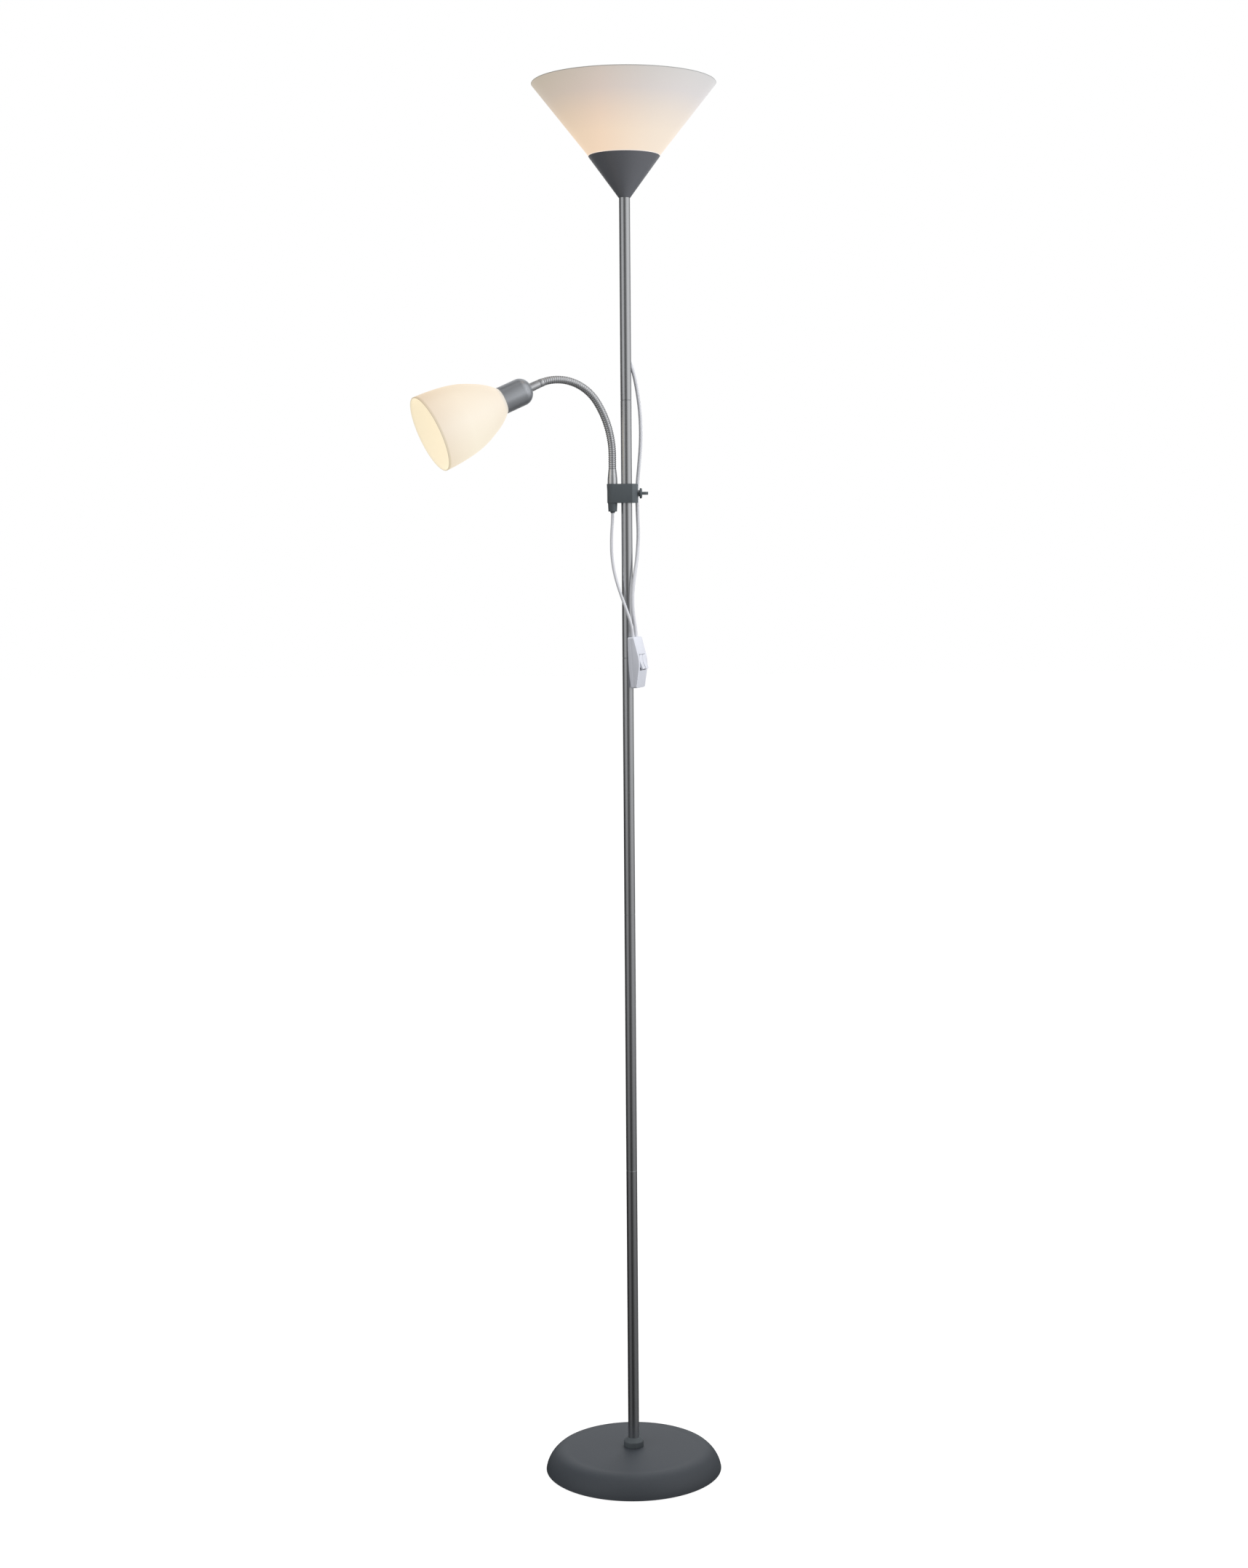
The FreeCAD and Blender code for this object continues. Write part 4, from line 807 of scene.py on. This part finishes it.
for name, piece in nodes.items():
    dress(piece, finishes[slot_of_node[name]])
for piece in list(bpy.context.scene.objects):
    if piece.type == "MESH" and "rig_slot" in piece:
        dress(piece, finishes[piece["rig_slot"]])
dress(reading_shade, bell_opal)
dress(cover, satin_cover)
print("CAD nodes dressed:", len(nodes))

# %% [markdown]
# ## The studio
# The photograph has a pure white ground. The world is white where the camera looks at it or a shiny surface
# mirrors it, and dimmer where it lights the lamp. The floor is pale and shows white as well. Soft boxes light
# the lamp from the right, the left, above and behind, and a small flag keeps the right one off the base,
# whose side is darker than its top. What the metal mirrors is a round tent that only reflections see: a broad
# bright panel on the right, narrow ones on the left and at the back, and dark cloth between them, which gives
# the pole its two light bands and dark edges. The tent grows dark towards its floor.

# %% World
world_light = 0.55                       # white is 1


def math_node(tree, operation, first, second):
    """A Math node on two inputs, each a socket or a number."""
    node = tree.nodes.new("ShaderNodeMath")
    node.operation = operation
    for socket, value in zip(node.inputs, (first, second)):
        if isinstance(value, (int, float)):
            socket.default_value = value
        else:
            tree.links.new(value, socket)
    return node.outputs[0]


world = bpy.data.worlds.new("studio")
bpy.context.scene.world = world
world.use_nodes = True
tree = world.node_tree
background = tree.nodes["Background"]
background.inputs["Color"].default_value = (1, 1, 1, 1)
rays = tree.nodes.new("ShaderNodeLightPath").outputs
mirrored = math_node(tree, "MAXIMUM", rays["Is Glossy Ray"], rays["Is Transmission Ray"])
level = tree.nodes.new("ShaderNodeMapRange")
level.inputs["To Min"].default_value = world_light
level.inputs["To Max"].default_value = 1.0
tree.links.new(math_node(tree, "MAXIMUM", rays["Is Camera Ray"], mirrored), level.inputs["Value"])
tree.links.new(level.outputs["Result"], background.inputs["Strength"])
print("the world lights at", world_light)

# %% Floor
floor_grey, floor_glow = 0.22, 0.92
floor_height = -0.0005                   # metres, so that the base stands clear of the floor's face
deselect_all()
bpy.ops.mesh.primitive_plane_add(size=40, location=(0, 0, floor_height))
floor = bpy.context.object
floor.name = "floor"
bpy.ops.object.transform_apply(location=True)
pale = bpy.data.materials.new("pale floor")
pale.use_nodes = True
tree = pale.node_tree
shader = tree.nodes["Principled BSDF"]
shader.inputs["Base Color"].default_value = (floor_grey, floor_grey, floor_grey, 1)
shader.inputs["Roughness"].default_value = 1.0
shader.inputs["Specular IOR Level"].default_value = 0.0
shader.inputs["Emission Color"].default_value = (1, 1, 1, 1)
rays = tree.nodes.new("ShaderNodeLightPath").outputs
seen = math_node(tree, "MAXIMUM", rays["Is Camera Ray"], rays["Is Glossy Ray"])
tree.links.new(math_node(tree, "MULTIPLY", seen, floor_glow), shader.inputs["Emission Strength"])
floor.data.materials.append(pale)

# %% Soft boxes
def soft_box(name, place, target, size, power):
    """A rectangular area light that faces a point, and that no reflection shows."""
    light = bpy.data.lights.new(name, "AREA")
    light.shape = "RECTANGLE"
    light.size, light.size_y = size
    light.energy = power
    box = bpy.data.objects.new(name, light)
    bpy.context.scene.collection.objects.link(box)
    box.location = place
    box.rotation_euler = (Vector(target) - Vector(place)).to_track_quat("-Z", "Y").to_euler()
    box.visible_glossy = False
    print(name, power, "W")


soft_box("right box", (2.5, -1.3, 1.8), (0, 0, 1.4), (1.0, 1.7), 56)
soft_box("left box", (-2.4, -1.8, 1.2), (0, 0, 1.1), (0.7, 2.0), 10)
soft_box("top box", (0.2, -0.2, 3.4), (0, 0, 0.0), (2.0, 1.6), 26)
soft_box("back box", (0.8, 2.6, 2.3), (0, 0, 0.9), (1.6, 1.8), 40)

# %% Flag
flag_place = Vector((0.50, -0.26, 0.37))
flag_facing = Vector((0.81, -0.42, 0.41))        # towards the right box
flag_size = (0.55, 0.52)                         # metres
deselect_all()
bpy.ops.mesh.primitive_plane_add(size=1.0)
flag = bpy.context.object
flag.name = "flag"
flag.matrix_world = (Matrix.Translation(flag_place) @ flag_facing.to_track_quat("Z", "Y").to_matrix().to_4x4()
                     @ Matrix.Diagonal((*flag_size, 1.0, 1.0)))
bpy.ops.object.transform_apply(location=True, rotation=True, scale=True)
flag.visible_camera = flag.visible_diffuse = flag.visible_glossy = flag.visible_transmission = False
black_cloth = bpy.data.materials.new("black cloth")
black_cloth.use_nodes = True
black_cloth.node_tree.nodes["Principled BSDF"].inputs["Base Color"].default_value = (0, 0, 0, 1)
flag.data.materials.append(black_cloth)
print("flag:", flag_size, "m")

# %% Tent
tent_radius, tent_height = 3.5, 3.2      # metres
tent_drop = 0.0002                       # metres; the tent's floor lies just above the other floor
deselect_all()
bpy.ops.mesh.primitive_cylinder_add(vertices=64, radius=tent_radius, depth=tent_height,
                                    end_fill_type="TRIFAN", location=(0, 0, tent_height / 2 - tent_drop))
tent = bpy.context.object
tent.name = "tent"
bpy.ops.object.transform_apply(location=True)
tent.visible_camera = tent.visible_diffuse = tent.visible_shadow = tent.visible_transmission = False
print("tent:", tent_radius, "m from its middle to its wall,", tent_height, "m high")

# %% Cloth of the tent
cloth = bpy.data.materials.new("tent cloth")
cloth.use_nodes = True
tree = cloth.node_tree
tree.nodes.remove(tree.nodes["Principled BSDF"])
place = tree.nodes.new("ShaderNodeTexCoord")
parts = tree.nodes.new("ShaderNodeSeparateXYZ")
tree.links.new(place.outputs["Object"], parts.inputs[0])

x, y, z = parts.outputs
bearing = math_node(tree, "ARCTAN2", x, math_node(tree, "MULTIPLY", y, -1.0))
around = math_node(tree, "MULTIPLY_ADD", bearing, 1 / (2 * math.pi))
around.node.inputs[2].default_value = 0.5        # 0.5 is the camera's side, and more is to the right
squares = math_node(tree, "ADD", math_node(tree, "MULTIPLY", x, x), math_node(tree, "MULTIPLY", y, y))
reach = math_node(tree, "SQRT", squares, 0.0)
climb = math_node(tree, "ADD", z, reach)         # metres out along the floor and up the wall
whole_climb = tent_radius + tent_height


def grey_ramp(stops):
    """A ramp of greys through the stops of the tent's cloth."""
    return ramp_of(tree, [(at, (level, level, level)) for at, level in stops])


bands = grey_ramp([
    (0.0, 0.75), (0.065, 0.75), (0.095, 0.10), (0.17, 0.10), (0.26, 0.16), (0.30, 0.70), (0.40, 0.80),
    (0.44, 0.16), (0.53, 0.14), (0.585, 0.60), (0.62, 1.0), (0.78, 0.95), (0.84, 0.35), (0.905, 0.12),
    (0.935, 0.75), (1.0, 0.75)])
tree.links.new(around, bands.inputs["Fac"])
heights = grey_ramp([(metres / whole_climb, level) for metres, level in (
    (0.0, 0.17), (0.3, 0.17), (1.45, 0.25), (2.85, 0.37), (3.5, 0.45), (3.78, 0.56), (4.19, 0.70), (4.6, 1.0),
    (whole_climb, 1.0))])
tree.links.new(math_node(tree, "DIVIDE", climb, whole_climb), heights.inputs["Fac"])
light = tree.nodes.new("ShaderNodeEmission")
tree.links.new(bands.outputs["Color"], light.inputs["Color"])
tree.links.new(heights.outputs["Color"], light.inputs["Strength"])
tree.links.new(light.outputs[0], tree.nodes["Material Output"].inputs["Surface"])
tent.data.materials.append(cloth)

# %% [markdown]
# ## The end
# The colours go to the picture as they are.

# %% Finish
bpy.context.scene.view_settings.view_transform = "Standard"
bpy.context.view_layer.update()
